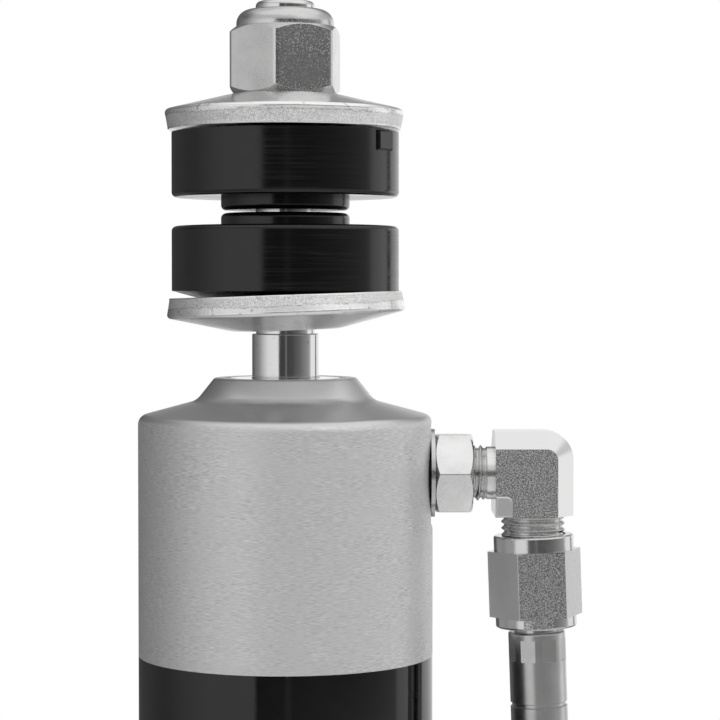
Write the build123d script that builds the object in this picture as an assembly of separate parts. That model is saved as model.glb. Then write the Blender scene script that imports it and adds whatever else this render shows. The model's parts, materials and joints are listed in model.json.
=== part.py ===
"""Shock absorber with a stem top mount, an eye lower mount and a reservoir clamped to its body.

The origin is the middle of the stem mount, where the vehicle's bracket sits between the two
bushings. +Z points up along the stem, +X from the body towards the hose port and the reservoir,
and the lower eye's bolt runs along Y. Lengths are millimetres. The rod is fully extended here.
"""

import os
from math import cos, radians, sin, tan

from build123d import *

# Fits between neighbouring pieces, measured on the radius or along the gap
slip = 0.05          # sliding fit of a shaft, band or piston in its bore
seat = 0.05          # a piece that is pressed, screwed or seated in another
squeeze = 0.10       # what a seal stands clear of its groove when drawn uncompressed
past = 1.0           # how far a cutter runs past the material that it cuts
fine_round = 0.3     # edge of a small turned piece
edge_round = 0.5     # edge of a turned piece
lead_round = 0.8     # leading edge of a piece that is pushed or screwed in
hexagon_face = 0.97  # round end face of a hexagon, as a share of its size across flats

# Stem mount, seen in the photograph
stem_neck_od = 12.7
stem_base_od = 14.4
stem_end_chamfer = 1.0
bracket_gap = 6.2
boss_gap = 0.6
bushing_od = 48.9
bushing_boss_od = 27.7
bushing_flange_height = 13.9
bushing_corner = 1.1
bushing_bore_gap = 0.3
bushing_mark_width = 6.0
bushing_mark_height = 4.2
bushing_mark_proud = 0.5
bushing_mark_slope = 0.4
bushing_mark_below_edge = 0.25
bushing_mark_angle = -29.7

washer_od = 51.4
washer_under_od = 50.2
washer_hole = 13.2
washer_land_od = 23.0
washer_under_land_od = 21.0
washer_edge_height = 4.3
washer_cup_angle = 13.5
washer_edge_round = 1.1
washer_land_round = 2.0
upper_washer_shift = 0.2
washer_rim_gap = 0.45
lower_washer_tilt = 2.0
lower_washer_drop = 1.0
lower_bushing_cone = 15.0

nut_across_flats = 22.2
nut_hex_height = 14.4
nut_collar_od = 21.0
nut_collar_height = 3.7
nut_collar_mouth_od = 14.2
nut_corner_angle = -97.2
nut_chamfer = 1.6
nut_corner_round = 1.4
nut_lip = 1.0
nut_ring_height = 2.4
nut_ring_wall = 2.2
stem_above_nut = 1.8

# Body cap and tube
body_od = 63.5
body_wall = 3.175
stem_visible = 9.5
cap_side_height = 51.4
cap_top_od = 30.6
cap_top_edge = 1.0
cap_neck_od = 38.4
cap_neck_height = 4.9
cap_neck_round = 4.0
cap_shoulder_drop = 3.4
cap_shoulder_round = 2.2
cap_spigot_length = 16.0
cap_recess_od = 42.0
cap_recess_depth = 26.0
lock_ring_od = 24.2
lock_ring_height = 3.0
lock_ring_hole = 1.8
lock_ring_play = 0.3
stem_foot_od = 20.0
stem_foot_height = 3.0
stem_thread_od = 16.0
stem_thread_length = 9.0
tube_length = 330.0

# Hose port, seen in the photograph
port_below_cap_top = 20.6
spot_face_od = 24.0
spot_face_depth = 0.5
port_thread_od = 12.0
port_thread_depth = 11.0
port_undercut_length = 3.2
port_drill = 6.0
port_seal_middle_od = 14.4
port_seal_section = 1.8
port_washer_od = 19.0
port_washer_height = 0.9
port_washer_play = 0.2
locknut_across_flats = 16.6
locknut_height = 8.1
locknut_chamfer = 0.9
locknut_corner_round = 0.5
locknut_corner_angle = 88.0
stud_short_of_thread_end = 2.0
stud_lead_chamfer = 1.2
elbow_left_x = 44.9
elbow_right_x = 61.8
elbow_above_axis = 9.2
elbow_below_axis = 8.9
elbow_depth = 17.2
elbow_outer_round = 6.0
elbow_bevel_width = 3.6
elbow_bevel_depth = 4.4
elbow_pad_width = 3.7
elbow_pad_height = 4.5
elbow_pad_proud = 0.6
elbow_pad_corner = 1.5
elbow_pad_round = 0.4
elbow_neck_od = 11.4
elbow_neck_step = 0.3
outlet_x = 53.4
outlet_thread_od = 13.8
outlet_thread_length = 10.6
thread_depth = 0.65
thread_relief = 0.4
outlet_nose_angle = 37.0
outlet_nose_wall = 0.8
oil_way = 6.0
hose_lean = 2.0

# Hose ends and hose
swivel_gap = 4.4
swivel_across_flats = 17.7
swivel_collar_od = 17.3
swivel_foot_od = 17.5
swivel_top_collar = 3.3
swivel_hex_height = 14.2
swivel_bottom_collar = 2.4
swivel_corner_angle = -114.0
lower_swivel_corner_angle = 15.0
swivel_corner_round = 0.35
nipple_od = 9.6
nipple_head_od = 12.6
nipple_head_height = 3.6
ferrule_gap = 1.0
ferrule_od = 12.3
ferrule_length = 34.0
ferrule_crimp_flats = 11.86
ferrule_crimp_count = 8
ferrule_crimp_at = 1.5
ferrule_crimp_height = 4.7
ferrule_crimp_angle = -68.5
ferrule_groove_at = 15.7
ferrule_groove_width = 1.0
ferrule_groove_depth = 0.35
ferrule_groove_slope = 0.2
ferrule_lip = 1.0
hose_od = 9.2
hose_bore = 5.2
hose_in_ferrule = 14.0
hose_straight_end = 8.0
nipple_neck_od = 8.4
nipple_tail_od = 5.0
nipple_tail_short = 2.0
nipple_head_land = 0.2
nipple_bore = 3.6

# Reservoir and its clamps
reservoir_od = 50.8
reservoir_wall = 2.9
reservoir_length = 145.0
reservoir_gap = 6.35
reservoir_above_tube_end = 138.5
reservoir_cap_height = 20.0
reservoir_cap_recess = 4.5
reservoir_port_boss_od = 24.0
gas_boss_height = 2.0
oil_cap_funnel_wall = 5.0
oil_cap_funnel_height = 4.0
adapter_across_flats = 17.5
adapter_hex_height = 8.5
adapter_hex_chamfer = 0.8
adapter_corner_angle = 20.0
adapter_thread_od = 14.0
adapter_thread_length = 10.0
adapter_seal_middle_od = 16.2
adapter_seal_section = 1.6
snap_ring_height = 1.8
snap_ring_width = 3.2
snap_ring_bite = 1.2
snap_ring_gap = 7.0
floating_piston_height = 22.0
floating_piston_skirt = 12.0
floating_piston_wall = 4.0
floating_piston_start_gap = 4.0
floating_piston_gap = 0.35
floating_piston_dish = 2.0
floating_piston_dish_wall = 9.0
floating_seal_below_top = 4.5
floating_band_above_skirt = 3.0
band_width = 7.0
band_thickness = 1.5
band_split = 1.2
band_play = 0.05
oring_section = 3.0
oring_depth = 2.4
oring_groove_width = 3.4
valve_hex = 11.0
valve_hex_height = 4.0
valve_hex_chamfer = 0.5
valve_thread_od = 7.7
valve_thread_length = 9.0
valve_thread_depth = 0.35
valve_seat_length = 12.0
valve_bore = 3.2
valve_pin_od = 1.4
valve_pin_recess = 0.6
valve_pin_length = 11.4
valve_pin_stroke = 1.0
valve_disc_play = 0.3
valve_disc_height = 4.0
valve_spring_room = 3.4
valve_cap_od = 10.0
valve_cap_height = 9.0
valve_cap_crown = 1.6
valve_cap_crown_wall = 1.2
valve_cap_play = 0.3
clamp_height = 16.0
clamp_wall = 5.0
clamp_ear_width = 10.0
clamp_ear_reach = 9.5
clamp_split = 1.6
clamp_waist = 30.0
clamp_edge_break = 0.8
clamp_screw_od = 5.0
clamp_screw_head_od = 8.5
clamp_screw_head_height = 5.0
clamp_spot_gap = 0.8
clamp_screw_short = 1.0
clamp_screw_socket = 4.0
clamp_screw_socket_depth = 2.6
upper_clamp_below_top = 30.0
clamp_spacing = 76.0

# Rod, piston and seal head
travel = 200.0
rod_od = 22.225
rod_stud_od = 14.0
piston_height = 22.0
piston_gap = 0.6
piston_side_gap = 0.5
piston_face_relief = 1.2
piston_seat_width = 2.0
piston_seat_slope = 0.5
piston_edge_taper = 2.5
piston_port_circle = 36.0
piston_port_od = 6.0
piston_port_count = 6
shim_count = 6
shim_thickness = 0.4
shim_largest_od = 46.0
shim_smallest_od = 26.0
stop_washer_height = 3.2
stop_washer_od = 30.0
piston_nut_across_flats = 22.0
piston_nut_height = 12.0
bumper_height = 10.0
bumper_od = 36.0
bumper_taper_width = 2.0
bumper_taper_height = 3.0
seal_head_height = 38.0
seal_head_above_tube_end = 9.0
wiper_cap_flange = 5.0
wiper_cap_spigot = 6.0
wiper_cap_taper = 2.0
wiper_cap_holes = 4
wiper_cap_hole_od = 4.0
wiper_cap_hole_depth = 3.0
wiper_cap_hole_edge = 9.0
wiper_cap_play = 0.6
seal_head_play = 0.4
bush_below_head_top = 3.0
rod_seal_above_head_foot = 6.0
bush_height = 15.0
bush_wall = 1.5
rod_seal_height = 6.0
rod_seal_wall = 4.0
wiper_height = 5.0
wiper_wall = 3.6
wiper_lip_out = 1.0

# Lower eye
bump_clearance = 10.0
eye_od = 45.0
eye_width = 31.75
eye_bore = 33.0
eye_edge_round = 1.5
eye_neck_od = 30.0
eye_neck_height = 20.0
eye_neck_flats = 25.4
eye_flat_height = 10.0
eye_flat_below_top = 1.5
eye_neck_flare = 2.5
eye_neck_flare_above_ring = 3.0
rod_in_eye = 16.0
rod_end_play = 0.6
rod_end_od = 16.0
eye_bushing_flange_od = 41.0
eye_bushing_flange = 2.9
eye_bushing_halves_gap = 0.6
sleeve_od = 19.05
sleeve_bore = 12.7
sleeve_proud = 0.275
sleeve_running = 0.08

# Heights that follow from the sizes above
boss_z = boss_gap / 2
flange_z = bracket_gap / 2
bushing_edge_z = flange_z + bushing_flange_height
cup_slope = tan(radians(washer_cup_angle))
washer_cup_drop = (washer_od - washer_land_od) / 2 * cup_slope
washer_height = washer_edge_height + washer_cup_drop
washer_bottom_z = bushing_edge_z + washer_rim_gap
nut_bottom_z = washer_bottom_z + washer_height
nut_height = nut_hex_height + nut_collar_height
stem_top_z = nut_bottom_z + nut_height + stem_above_nut
shoulder_z = -(washer_bottom_z + washer_height + lower_washer_drop)
cap_top_z = shoulder_z - stem_visible
cap_neck_z = cap_top_z - cap_neck_height
cap_corner_z = cap_neck_z - cap_shoulder_drop
joint_z = cap_corner_z - cap_side_height
port_z = cap_top_z - port_below_cap_top
spot_face_x = body_od / 2 - spot_face_depth
tube_bottom_z = joint_z - tube_length
body_bore = body_od - 2 * body_wall
outlet_z = port_z - elbow_below_axis
swivel_height = swivel_top_collar + swivel_hex_height + swivel_bottom_collar
reservoir_x = body_od / 2 + reservoir_gap + reservoir_od / 2
reservoir_bore = reservoir_od - 2 * reservoir_wall
reservoir_top_z = tube_bottom_z + reservoir_above_tube_end
reservoir_bottom_z = reservoir_top_z - reservoir_length
reservoir_cap_top_z = reservoir_top_z - reservoir_cap_recess
reservoir_cap_bottom_z = reservoir_cap_top_z - reservoir_cap_height
gas_cap_bottom_z = reservoir_bottom_z + reservoir_cap_recess
gas_cap_top_z = gas_cap_bottom_z + reservoir_cap_height
adapter_face_z = reservoir_top_z + seat
seal_head_bottom_z = tube_bottom_z + seal_head_above_tube_end
seal_head_top_z = seal_head_bottom_z + seal_head_height
bumper_bottom_z = seal_head_top_z + piston_gap
shim_stack = shim_count * shim_thickness
rod_shoulder_z = bumper_bottom_z + bumper_height
rebound_shims_z = rod_shoulder_z + stop_washer_height
piston_bottom_z = rebound_shims_z + shim_stack
piston_top_z = piston_bottom_z + piston_height
compression_stop_z = piston_top_z + shim_stack
piston_nut_z = compression_stop_z + stop_washer_height
wiper_cap_bottom_z = tube_bottom_z - wiper_cap_flange
eye_top_z = wiper_cap_bottom_z - travel - bump_clearance
eye_z = eye_top_z - eye_neck_height - eye_od / 2 + eye_edge_round
sleeve_length = eye_width + 2 * (eye_bushing_flange + sleeve_proud)
ferrule_top = -(swivel_gap + swivel_height + ferrule_gap)
outlet_nose_od = oil_way + 2 * outlet_nose_wall

# Where the hose leaves the elbow, leaning away from the body, and where it meets the reservoir
outlet = Location((outlet_x, 0, outlet_z), (0, -hose_lean, 0))
adapter_hex_top_z = adapter_face_z + adapter_hex_height
inlet = Location((reservoir_x, 0, adapter_hex_top_z), (180, 0, 0))


def turned(outline):
    """Revolves a closed outline of (radius, height) points about Z. A third value rounds a point."""
    corners = [Vector(point[0], 0, point[1]) for point in outline]
    face = Face(Wire.make_polygon(corners, close=True))
    for point in outline:
        if len(point) > 2:
            corner = Vector(point[0], 0, point[1])
            vertex = face.vertices().sort_by_distance(corner)[0]
            face = face.fillet_2d(point[2], [vertex])
    return revolve(face, Axis.Z)


def ring(outer, inner, bottom, top):
    """A plain round collar between two heights, or a disc where the inner diameter is 0."""
    return turned([(inner / 2, bottom), (outer / 2, bottom), (outer / 2, top), (inner / 2, top)])


def hexagon(across_flats, bottom, top, corner_angle=0.0, corner_round=0.0):
    """A six-sided bar along Z with one corner at the given angle."""
    outline = RegularPolygon(across_flats / 2, 6, major_radius=False)
    turn = corner_angle - 30 * round(outline.vertices().sort_by(Axis.X)[-1].Y != 0)
    if corner_round > 0:
        outline = fillet(outline.vertices(), corner_round)
    return Pos(0, 0, bottom) * Rot(0, 0, turn) * extrude(outline, top - bottom)


def chamfered_hexagon(across_flats, bottom, top, chamfer_height, corner_angle=0.0, corner_round=0.0):
    """A hexagon whose corners are turned off at both ends, as on a nut."""
    corner = across_flats / 2 / cos(radians(30))
    flat = across_flats / 2 * hexagon_face
    envelope = turned([
        (0, bottom),
        (flat, bottom),
        (corner, bottom + chamfer_height),
        (corner, top - chamfer_height),
        (flat, top),
        (0, top),
    ])
    return hexagon(across_flats, bottom, top, corner_angle, corner_round) & envelope


def o_ring(middle_diameter, height, section=oring_section):
    """A round-section seal lying flat."""
    return Pos(0, 0, height) * Torus(middle_diameter / 2, section / 2)


def snap_ring(bore, bottom):
    """A split retaining ring that bites into a groove in a bore, open towards +X."""
    outer = bore / 2 + snap_ring_bite - squeeze
    inner = bore / 2 - snap_ring_width + snap_ring_bite
    split = Pos(outer, 0) * Rectangle(2 * snap_ring_width + outer, snap_ring_gap)
    outline = Circle(outer) - Circle(inner) - split
    return Pos(0, 0, bottom) * extrude(outline, snap_ring_height - squeeze)


def snap_groove(bore, bottom):
    """The cutter for a snap ring's groove."""
    outer = bore + 2 * snap_ring_bite
    return ring(outer, 0, bottom - squeeze, bottom + snap_ring_height)


def bore_cut(diameter, bottom, top):
    """The cutter for a round hole along Z."""
    return ring(diameter, 0, bottom, top)


def through_cut(diameter, bottom, top):
    """The cutter for a round hole right through the material between two heights."""
    return bore_cut(diameter, bottom - past, top + past)


def seal_groove(bore, height):
    """The cutter for an O-ring groove in a plug that fits the bore."""
    low, high = height - oring_groove_width / 2, height + oring_groove_width / 2
    return ring(bore + 2 * past, bore - 2 * oring_depth, low, high)


def plug_seal(bore, height, clearance=squeeze):
    """The O-ring of a plug, drawn a little thinner than its groove is deep."""
    return o_ring(bore - oring_depth, height, oring_depth - clearance)


# Upper mount
def stem_nut():
    """Locking nut: a chamfered hexagon with a round collar that holds the locking ring."""
    hex_top = nut_bottom_z + nut_hex_height
    top = hex_top + nut_collar_height
    body = chamfered_hexagon(
        nut_across_flats, nut_bottom_z, hex_top, nut_chamfer, nut_corner_angle, nut_corner_round
    )
    collar = turned([
        (0, hex_top - nut_chamfer),
        (nut_collar_od / 2, hex_top - nut_chamfer),
        (nut_collar_od / 2, top, nut_collar_height * 0.8),
        (0, top),
    ])
    bore = through_cut(stem_neck_od + 2 * seat, nut_bottom_z, top)
    mouth = bore_cut(nut_collar_mouth_od, top - nut_lip, top + past)
    ring_room = bore_cut(
        nut_collar_od - 2 * nut_ring_wall, top - nut_lip - nut_ring_height, top - nut_lip
    )
    return body + collar - bore - mouth - ring_room


def nut_locking_ring():
    """Nylon ring inside the nut's collar."""
    top = nut_bottom_z + nut_height - nut_lip
    outer = nut_collar_od - 2 * nut_ring_wall - 2 * seat
    return ring(outer, stem_neck_od + 2 * seat, top - nut_ring_height + seat, top - seat)


def cup_washer():
    """Dished retaining washer, convex up, drawn with its rim's underside at height 0."""
    under_land = (washer_under_od - washer_under_land_od) / 2 * cup_slope
    return turned([
        (washer_hole / 2, under_land),
        (washer_under_land_od / 2, under_land),
        (washer_under_od / 2, 0, fine_round),
        (washer_od / 2, washer_edge_height, washer_edge_round),
        (washer_land_od / 2, washer_edge_height + washer_cup_drop, washer_land_round),
        (washer_hole / 2, washer_edge_height + washer_cup_drop),
    ])


def upper_cup_washer():
    """The washer under the nut, a little to the left in its hole's play."""
    return Pos(-upper_washer_shift, 0, washer_bottom_z) * cup_washer()


def lower_cup_washer():
    """The washer on the stem's shoulder, cup up, hanging a little askew as the photograph shows."""
    rim_z = -(washer_bottom_z + lower_washer_drop / 2)
    middle = washer_height / 2 + washer_cup_drop / 2
    upside_down = Rot(180, 0, 0) * Pos(0, 0, -middle) * cup_washer()
    return Pos(0, 0, rim_z - middle) * Rot(0, -lower_washer_tilt, 0) * upside_down


def bushing(cone_angle):
    """Half of the stem bushing: a flange with a conical back and a boss that enters the bracket's
    hole. It is drawn as the upper one, with the boss down."""
    radius = bushing_od / 2
    bore = stem_neck_od / 2 + bushing_bore_gap
    land = washer_under_land_od / 2
    cone_top = (radius - land) * tan(radians(cone_angle))
    return turned([
        (bore, boss_z),
        (bushing_boss_od / 2, boss_z, bushing_corner),
        (bushing_boss_od / 2, flange_z),
        (radius, flange_z, bushing_corner),
        (radius, bushing_edge_z),
        (land, bushing_edge_z + cone_top),
        (bore, bushing_edge_z + cone_top),
    ])


def upper_bushing():
    """The upper bushing, with the small square moulding mark that stands out near its top edge."""
    middle_z = bushing_edge_z - bushing_mark_below_edge - bushing_mark_height / 2
    root = 3 * bushing_mark_proud
    mark = Pos(bushing_od / 2 + bushing_mark_proud - root / 2, 0, middle_z) * Box(
        root, bushing_mark_width, bushing_mark_height
    )
    mark = chamfer(mark.faces().sort_by(Axis.X)[-1].edges(), bushing_mark_slope)
    return bushing(washer_cup_angle) + Rot(0, 0, bushing_mark_angle) * mark


def lower_bushing():
    """The lower bushing, whose back reaches a little further into the tilted washer."""
    return Rot(180, 0, 0) * bushing(lower_bushing_cone)


def mount_stem():
    """Stem: a threaded neck, a thicker base that ends in the washer's shoulder, a foot that the
    lock ring holds down and a threaded tail in the cap."""
    foot_top = cap_top_z - lock_ring_height
    foot_bottom = foot_top - stem_foot_height
    tail_bottom = foot_bottom - stem_thread_length
    return turned([
        (0, tail_bottom),
        (stem_thread_od / 2, tail_bottom, lead_round),
        (stem_thread_od / 2, foot_bottom),
        (stem_foot_od / 2, foot_bottom),
        (stem_foot_od / 2, foot_top),
        (stem_base_od / 2, foot_top),
        (stem_base_od / 2, shoulder_z, fine_round),
        (stem_neck_od / 2, shoulder_z),
        (stem_neck_od / 2, stem_top_z, stem_end_chamfer),
        (0, stem_top_z),
    ])


def lock_ring_holes():
    """Two pin-spanner holes on the seam between lock ring and cap, left and right."""
    hole = bore_cut(lock_ring_hole, cap_top_z - lock_ring_height / 2, cap_top_z + past)
    return [Pos(side * lock_ring_od / 2, 0, 0) * hole for side in (-1, 1)]


def stem_lock_ring():
    """Ring screwed into the cap's face over the stem's foot."""
    body = ring(
        lock_ring_od - 2 * seat,
        stem_base_od + 2 * lock_ring_play,
        cap_top_z - lock_ring_height + seat,
        cap_top_z - seat,
    )
    return body - lock_ring_holes()


# Body cap and tube
def body_cap():
    """Machined upper cap: neck, sloping shoulder, tall side and a spigot that enters the tube."""
    spigot_z = joint_z - cap_spigot_length
    spigot = body_bore / 2 - seat
    body = turned([
        (0, spigot_z),
        (spigot, spigot_z, lead_round),
        (spigot, joint_z),
        (body_od / 2, joint_z),
        (body_od / 2, cap_corner_z, cap_shoulder_round),
        (cap_neck_od / 2, cap_neck_z, cap_neck_round),
        (cap_top_od / 2, cap_top_z, cap_top_edge),
        (0, cap_top_z),
    ])
    foot_z = cap_top_z - lock_ring_height - stem_foot_height
    body -= bore_cut(lock_ring_od, cap_top_z - lock_ring_height, cap_top_z + past)
    body -= lock_ring_holes()
    body -= bore_cut(stem_foot_od + 2 * seat, foot_z - seat, cap_top_z)
    body -= bore_cut(stem_thread_od + 2 * seat, foot_z - stem_thread_length - seat, cap_top_z)
    body -= bore_cut(cap_recess_od, spigot_z - past, spigot_z + cap_recess_depth)
    body -= bore_cut(oil_way, spigot_z, port_z)
    body -= seal_groove(body_bore, cap_seal_z())
    along_x = Pos(0, 0, port_z) * Rot(0, 90, 0)
    body -= along_x * bore_cut(spot_face_od, spot_face_x, body_od)
    body -= along_x * bore_cut(port_thread_od + 2 * seat, spot_face_x - port_thread_depth, body_od)
    body -= along_x * bore_cut(port_drill, 0, body_od)
    seal_room = port_seal_middle_od + port_seal_section + 2 * seat
    body -= along_x * bore_cut(seal_room, spot_face_x - port_seal_section - seat, body_od)
    return body


def cap_seal_z():
    """Height of the O-ring on the cap's spigot."""
    return joint_z - cap_spigot_length / 2


def cap_seal():
    """O-ring between the cap's spigot and the tube."""
    return plug_seal(body_bore, cap_seal_z())


def body_tube():
    """Pressure tube, with the groove for the snap ring that holds the seal head."""
    tube = ring(body_od, body_bore, tube_bottom_z, joint_z)
    groove_z = seal_head_bottom_z - snap_ring_height
    return tube - snap_groove(body_bore, groove_z)


# Hose port
def port_washer():
    """Back-up washer between the cap's spot face and the locknut."""
    along_x = Pos(spot_face_x, 0, port_z) * Rot(0, 90, 0)
    hole = port_thread_od + 2 * port_washer_play
    return along_x * ring(port_washer_od, hole, seat, port_washer_height)


def port_locknut():
    """Hexagon locknut on the elbow's adjustable end, one corner towards the front."""
    start = spot_face_x + port_washer_height + seat
    end = start + locknut_height
    body = chamfered_hexagon(
        locknut_across_flats, start, end, locknut_chamfer, 0, locknut_corner_round
    )
    body -= through_cut(port_thread_od + 2 * seat, start, end)
    return Pos(0, 0, port_z) * Rot(0, 90, 0) * Rot(0, 0, locknut_corner_angle) * body


def elbow_block():
    """The forged corner block with its oil ways still solid: a wide round outside, bevels along the
    two outer sides of each face, and a small raised pad on each face at the inner corner."""
    middle_x = (elbow_left_x + elbow_right_x) / 2
    middle_z = port_z + (elbow_above_axis - elbow_below_axis) / 2
    width = elbow_right_x - elbow_left_x
    height = elbow_above_axis + elbow_below_axis
    block = Pos(middle_x, 0, middle_z) * Box(width, elbow_depth, height)
    across = block.edges().filter_by(Axis.Y).sort_by(lambda edge: edge.center().X + edge.center().Z)
    block = fillet(across[-1], elbow_outer_round)
    for side in (-1, 1):
        face = block.faces().sort_by(Axis.Y)[0 if side < 0 else -1]
        rim = [
            edge for edge in face.edges()
            if edge.center().X > elbow_left_x + 1 and edge.center().Z > outlet_z + 1
        ]
        block = chamfer(rim, elbow_bevel_width, elbow_bevel_depth, reference=face)
    return block + elbow_pad()


def elbow_pad():
    """The raised pads of both faces as one bar through the block, rounded at its inner corner."""
    bar = Box(elbow_pad_width, elbow_depth + 2 * elbow_pad_proud, elbow_pad_height)
    bar = Pos(
        elbow_left_x + elbow_pad_width / 2, 0, outlet_z + elbow_pad_height / 2
    ) * bar
    across = bar.edges().filter_by(Axis.Y).sort_by(lambda edge: edge.center().X + edge.center().Z)
    bar = fillet(across[-1], elbow_pad_corner)
    ends = bar.faces().sort_by(Axis.Y)
    return fillet(ends[0].edges() + ends[-1].edges(), elbow_pad_round)


def elbow_nose(length, thread_od):
    """Male end pointing down from height 0: an undercut where the thread runs out in the open, the
    thread inside the union nut and a cone seat."""
    nose_height = (thread_od - outlet_nose_od) / 2 / tan(radians(outlet_nose_angle))
    relief_od = thread_od - 2 * thread_depth
    relief_end = -swivel_gap - thread_relief
    return turned([
        (0, past),
        (relief_od / 2, past),
        (relief_od / 2, relief_end),
        (thread_od / 2, relief_end - thread_depth),
        (thread_od / 2, -length + nose_height),
        (outlet_nose_od / 2, -length),
        (0, -length),
    ])


def port_elbow():
    """Forged elbow: threaded stud into the cap, corner block, and the leaning hose outlet."""
    stud_start = spot_face_x - port_thread_depth + stud_short_of_thread_end
    undercut_start = spot_face_x + port_washer_height + locknut_height - thread_relief
    neck_start = undercut_start + port_undercut_length
    undercut_od = port_thread_od - 2 * thread_depth
    stud = turned([
        (0, stud_start),
        (port_thread_od / 2 - stud_lead_chamfer, stud_start),
        (port_thread_od / 2, stud_start + stud_lead_chamfer),
        (port_thread_od / 2, undercut_start - thread_depth),
        (undercut_od / 2, undercut_start),
        (undercut_od / 2, neck_start),
        (elbow_neck_od / 2, neck_start + elbow_neck_step),
        (elbow_neck_od / 2, elbow_left_x + past),
        (0, elbow_left_x + past),
    ])
    body = elbow_block() + Pos(0, 0, port_z) * Rot(0, 90, 0) * stud
    body += outlet * elbow_nose(outlet_thread_length, outlet_thread_od)
    body -= Pos(0, 0, port_z) * Rot(0, 90, 0) * bore_cut(oil_way, 0, outlet_x + oil_way / 2)
    body -= outlet * bore_cut(oil_way, -outlet_thread_length - past, elbow_below_axis)
    return body


def port_seal():
    """O-ring squeezed between the cap's port and the washer, drawn around the stud."""
    lying = Torus(port_seal_middle_od / 2, port_seal_section / 2)
    return Pos(spot_face_x - port_seal_section / 2, 0, port_z) * Rot(0, 90, 0) * lying


# Hose ends, drawn pointing down from a male seat at height 0
def swivel_nut(corner_angle):
    """Union nut: hexagon between two round collars, screwed over the male end."""
    top = -swivel_gap
    hex_top = top - swivel_top_collar
    hex_bottom = hex_top - swivel_hex_height
    bottom = hex_bottom - swivel_bottom_collar
    body = hexagon(swivel_across_flats, hex_bottom, hex_top, corner_angle, swivel_corner_round)
    body += turned([
        (0, bottom),
        (swivel_foot_od / 2, bottom, edge_round),
        (swivel_foot_od / 2, hex_bottom + past),
        (swivel_collar_od / 2, hex_bottom + past),
        (swivel_collar_od / 2, top, edge_round),
        (0, top),
    ])
    thread_end = -outlet_thread_length - nipple_head_height
    body -= bore_cut(outlet_thread_od + 2 * seat, thread_end, past)
    return body - bore_cut(nipple_od + 2 * seat, bottom - past, 0)


def hose_nipple():
    """Steel nipple: a seat that fits the male cone, a head the nut pulls on, and a tail that
    runs through the ferrule into the hose."""
    slope = tan(radians(outlet_nose_angle))
    seat_z = -outlet_thread_length - seat
    head_top = seat_z + (nipple_head_od - outlet_nose_od) / 2 / slope - nipple_head_land
    head_z = -outlet_thread_length - nipple_head_height + seat
    tail_z = ferrule_top - ferrule_length + nipple_tail_short
    step_z = ferrule_top - ferrule_length + hose_in_ferrule + seat
    body = turned([
        (0, tail_z),
        (nipple_tail_od / 2, tail_z),
        (nipple_tail_od / 2, step_z),
        (nipple_neck_od / 2, step_z),
        (nipple_neck_od / 2, ferrule_top),
        (nipple_od / 2, ferrule_top),
        (nipple_od / 2, head_z),
        (nipple_head_od / 2, head_z),
        (nipple_head_od / 2, head_top),
        (0, head_top),
    ])
    rim_z = seat_z + (outlet_thread_od - outlet_nose_od) / 2 / slope
    socket = turned([
        (0, seat_z),
        (outlet_nose_od / 2, seat_z),
        (outlet_thread_od / 2, rim_z),
        (0, rim_z),
    ])
    return body - socket - bore_cut(nipple_bore, tail_z - past, past)


def crimp_marks():
    """The cutters for the flats that the crimping jaws leave around the ferrule's upper end."""
    high = ferrule_top - ferrule_crimp_at
    jaw = Pos(ferrule_crimp_flats / 2 + ferrule_od / 2, 0, high - ferrule_crimp_height / 2) * Box(
        ferrule_od, ferrule_od, ferrule_crimp_height
    )
    return [
        Rot(0, 0, ferrule_crimp_angle + index * 360 / ferrule_crimp_count) * jaw
        for index in range(ferrule_crimp_count)
    ]


def hose_ferrule():
    """Crimped socket around the nipple and the hose's end, with jaw marks near its top and a
    groove half way."""
    bottom = ferrule_top - ferrule_length
    groove = ferrule_top - ferrule_groove_at
    radius = ferrule_od / 2
    waist = radius - ferrule_groove_depth
    half_mouth = ferrule_groove_width / 2
    half_floor = half_mouth - ferrule_groove_slope
    shell = turned([
        (0, bottom),
        (radius, bottom, ferrule_lip),
        (radius, groove - half_mouth),
        (waist, groove - half_floor),
        (waist, groove + half_floor),
        (radius, groove + half_mouth),
        (radius, ferrule_top, edge_round),
        (0, ferrule_top),
    ])
    hose_room = bore_cut(hose_od + 2 * seat, bottom - past, bottom + hose_in_ferrule)
    nipple_room = bore_cut(nipple_neck_od + 2 * seat, bottom, ferrule_top + past)
    return shell - hose_room - nipple_room - crimp_marks()


def hose_end_reach():
    """How far below a male seat's start the hose enters its ferrule."""
    return ferrule_length - hose_in_ferrule - ferrule_top


def hose_route():
    """Centreline points of the hose in the plane through both fittings: down out of the upper
    ferrule along its lean, out in a slack bow, and down into the lower ferrule."""
    lean = radians(hose_lean)
    start = hose_end_reach()
    leave = start + hose_in_ferrule + hose_straight_end
    return [
        (outlet_x + start * sin(lean), 0, outlet_z - start * cos(lean)),
        (outlet_x + leave * sin(lean), 0, outlet_z - leave * cos(lean)),
        (60.0, 0, -147.0),
        (65.3, 0, -162.0),
        (68.9, 0, -178.0),
        (68.3, 0, -195.0),
        (reservoir_x, 0, adapter_hex_top_z + leave),
        (reservoir_x, 0, adapter_hex_top_z + start),
    ]


def hose_radii(points):
    """Bend radius at each inner point: 0.45 of the shorter run over the tangent of half the turn."""
    radii = []
    for before, here, after in zip(points, points[1:], points[2:]):
        first = Vector(here) - Vector(before)
        second = Vector(after) - Vector(here)
        half_turn = radians(first.get_angle(second)) / 2
        radii.append(0.45 * min(first.length, second.length) / tan(half_turn))
    return radii


def reservoir_hose():
    """The hose along its route, with its bore left open."""
    points = hose_route()
    radii = hose_radii(points)
    path = FilletPolyline(*points, radius=radii)
    start = Plane(origin=path @ 0, z_dir=path % 0)
    print("hose length", round(path.length, 1), "radii", [round(r) for r in radii])
    outer = sweep(start * Circle(hose_od / 2), path=path)
    inner = sweep(start * Circle(hose_bore / 2), path=path)
    return outer - inner


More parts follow.
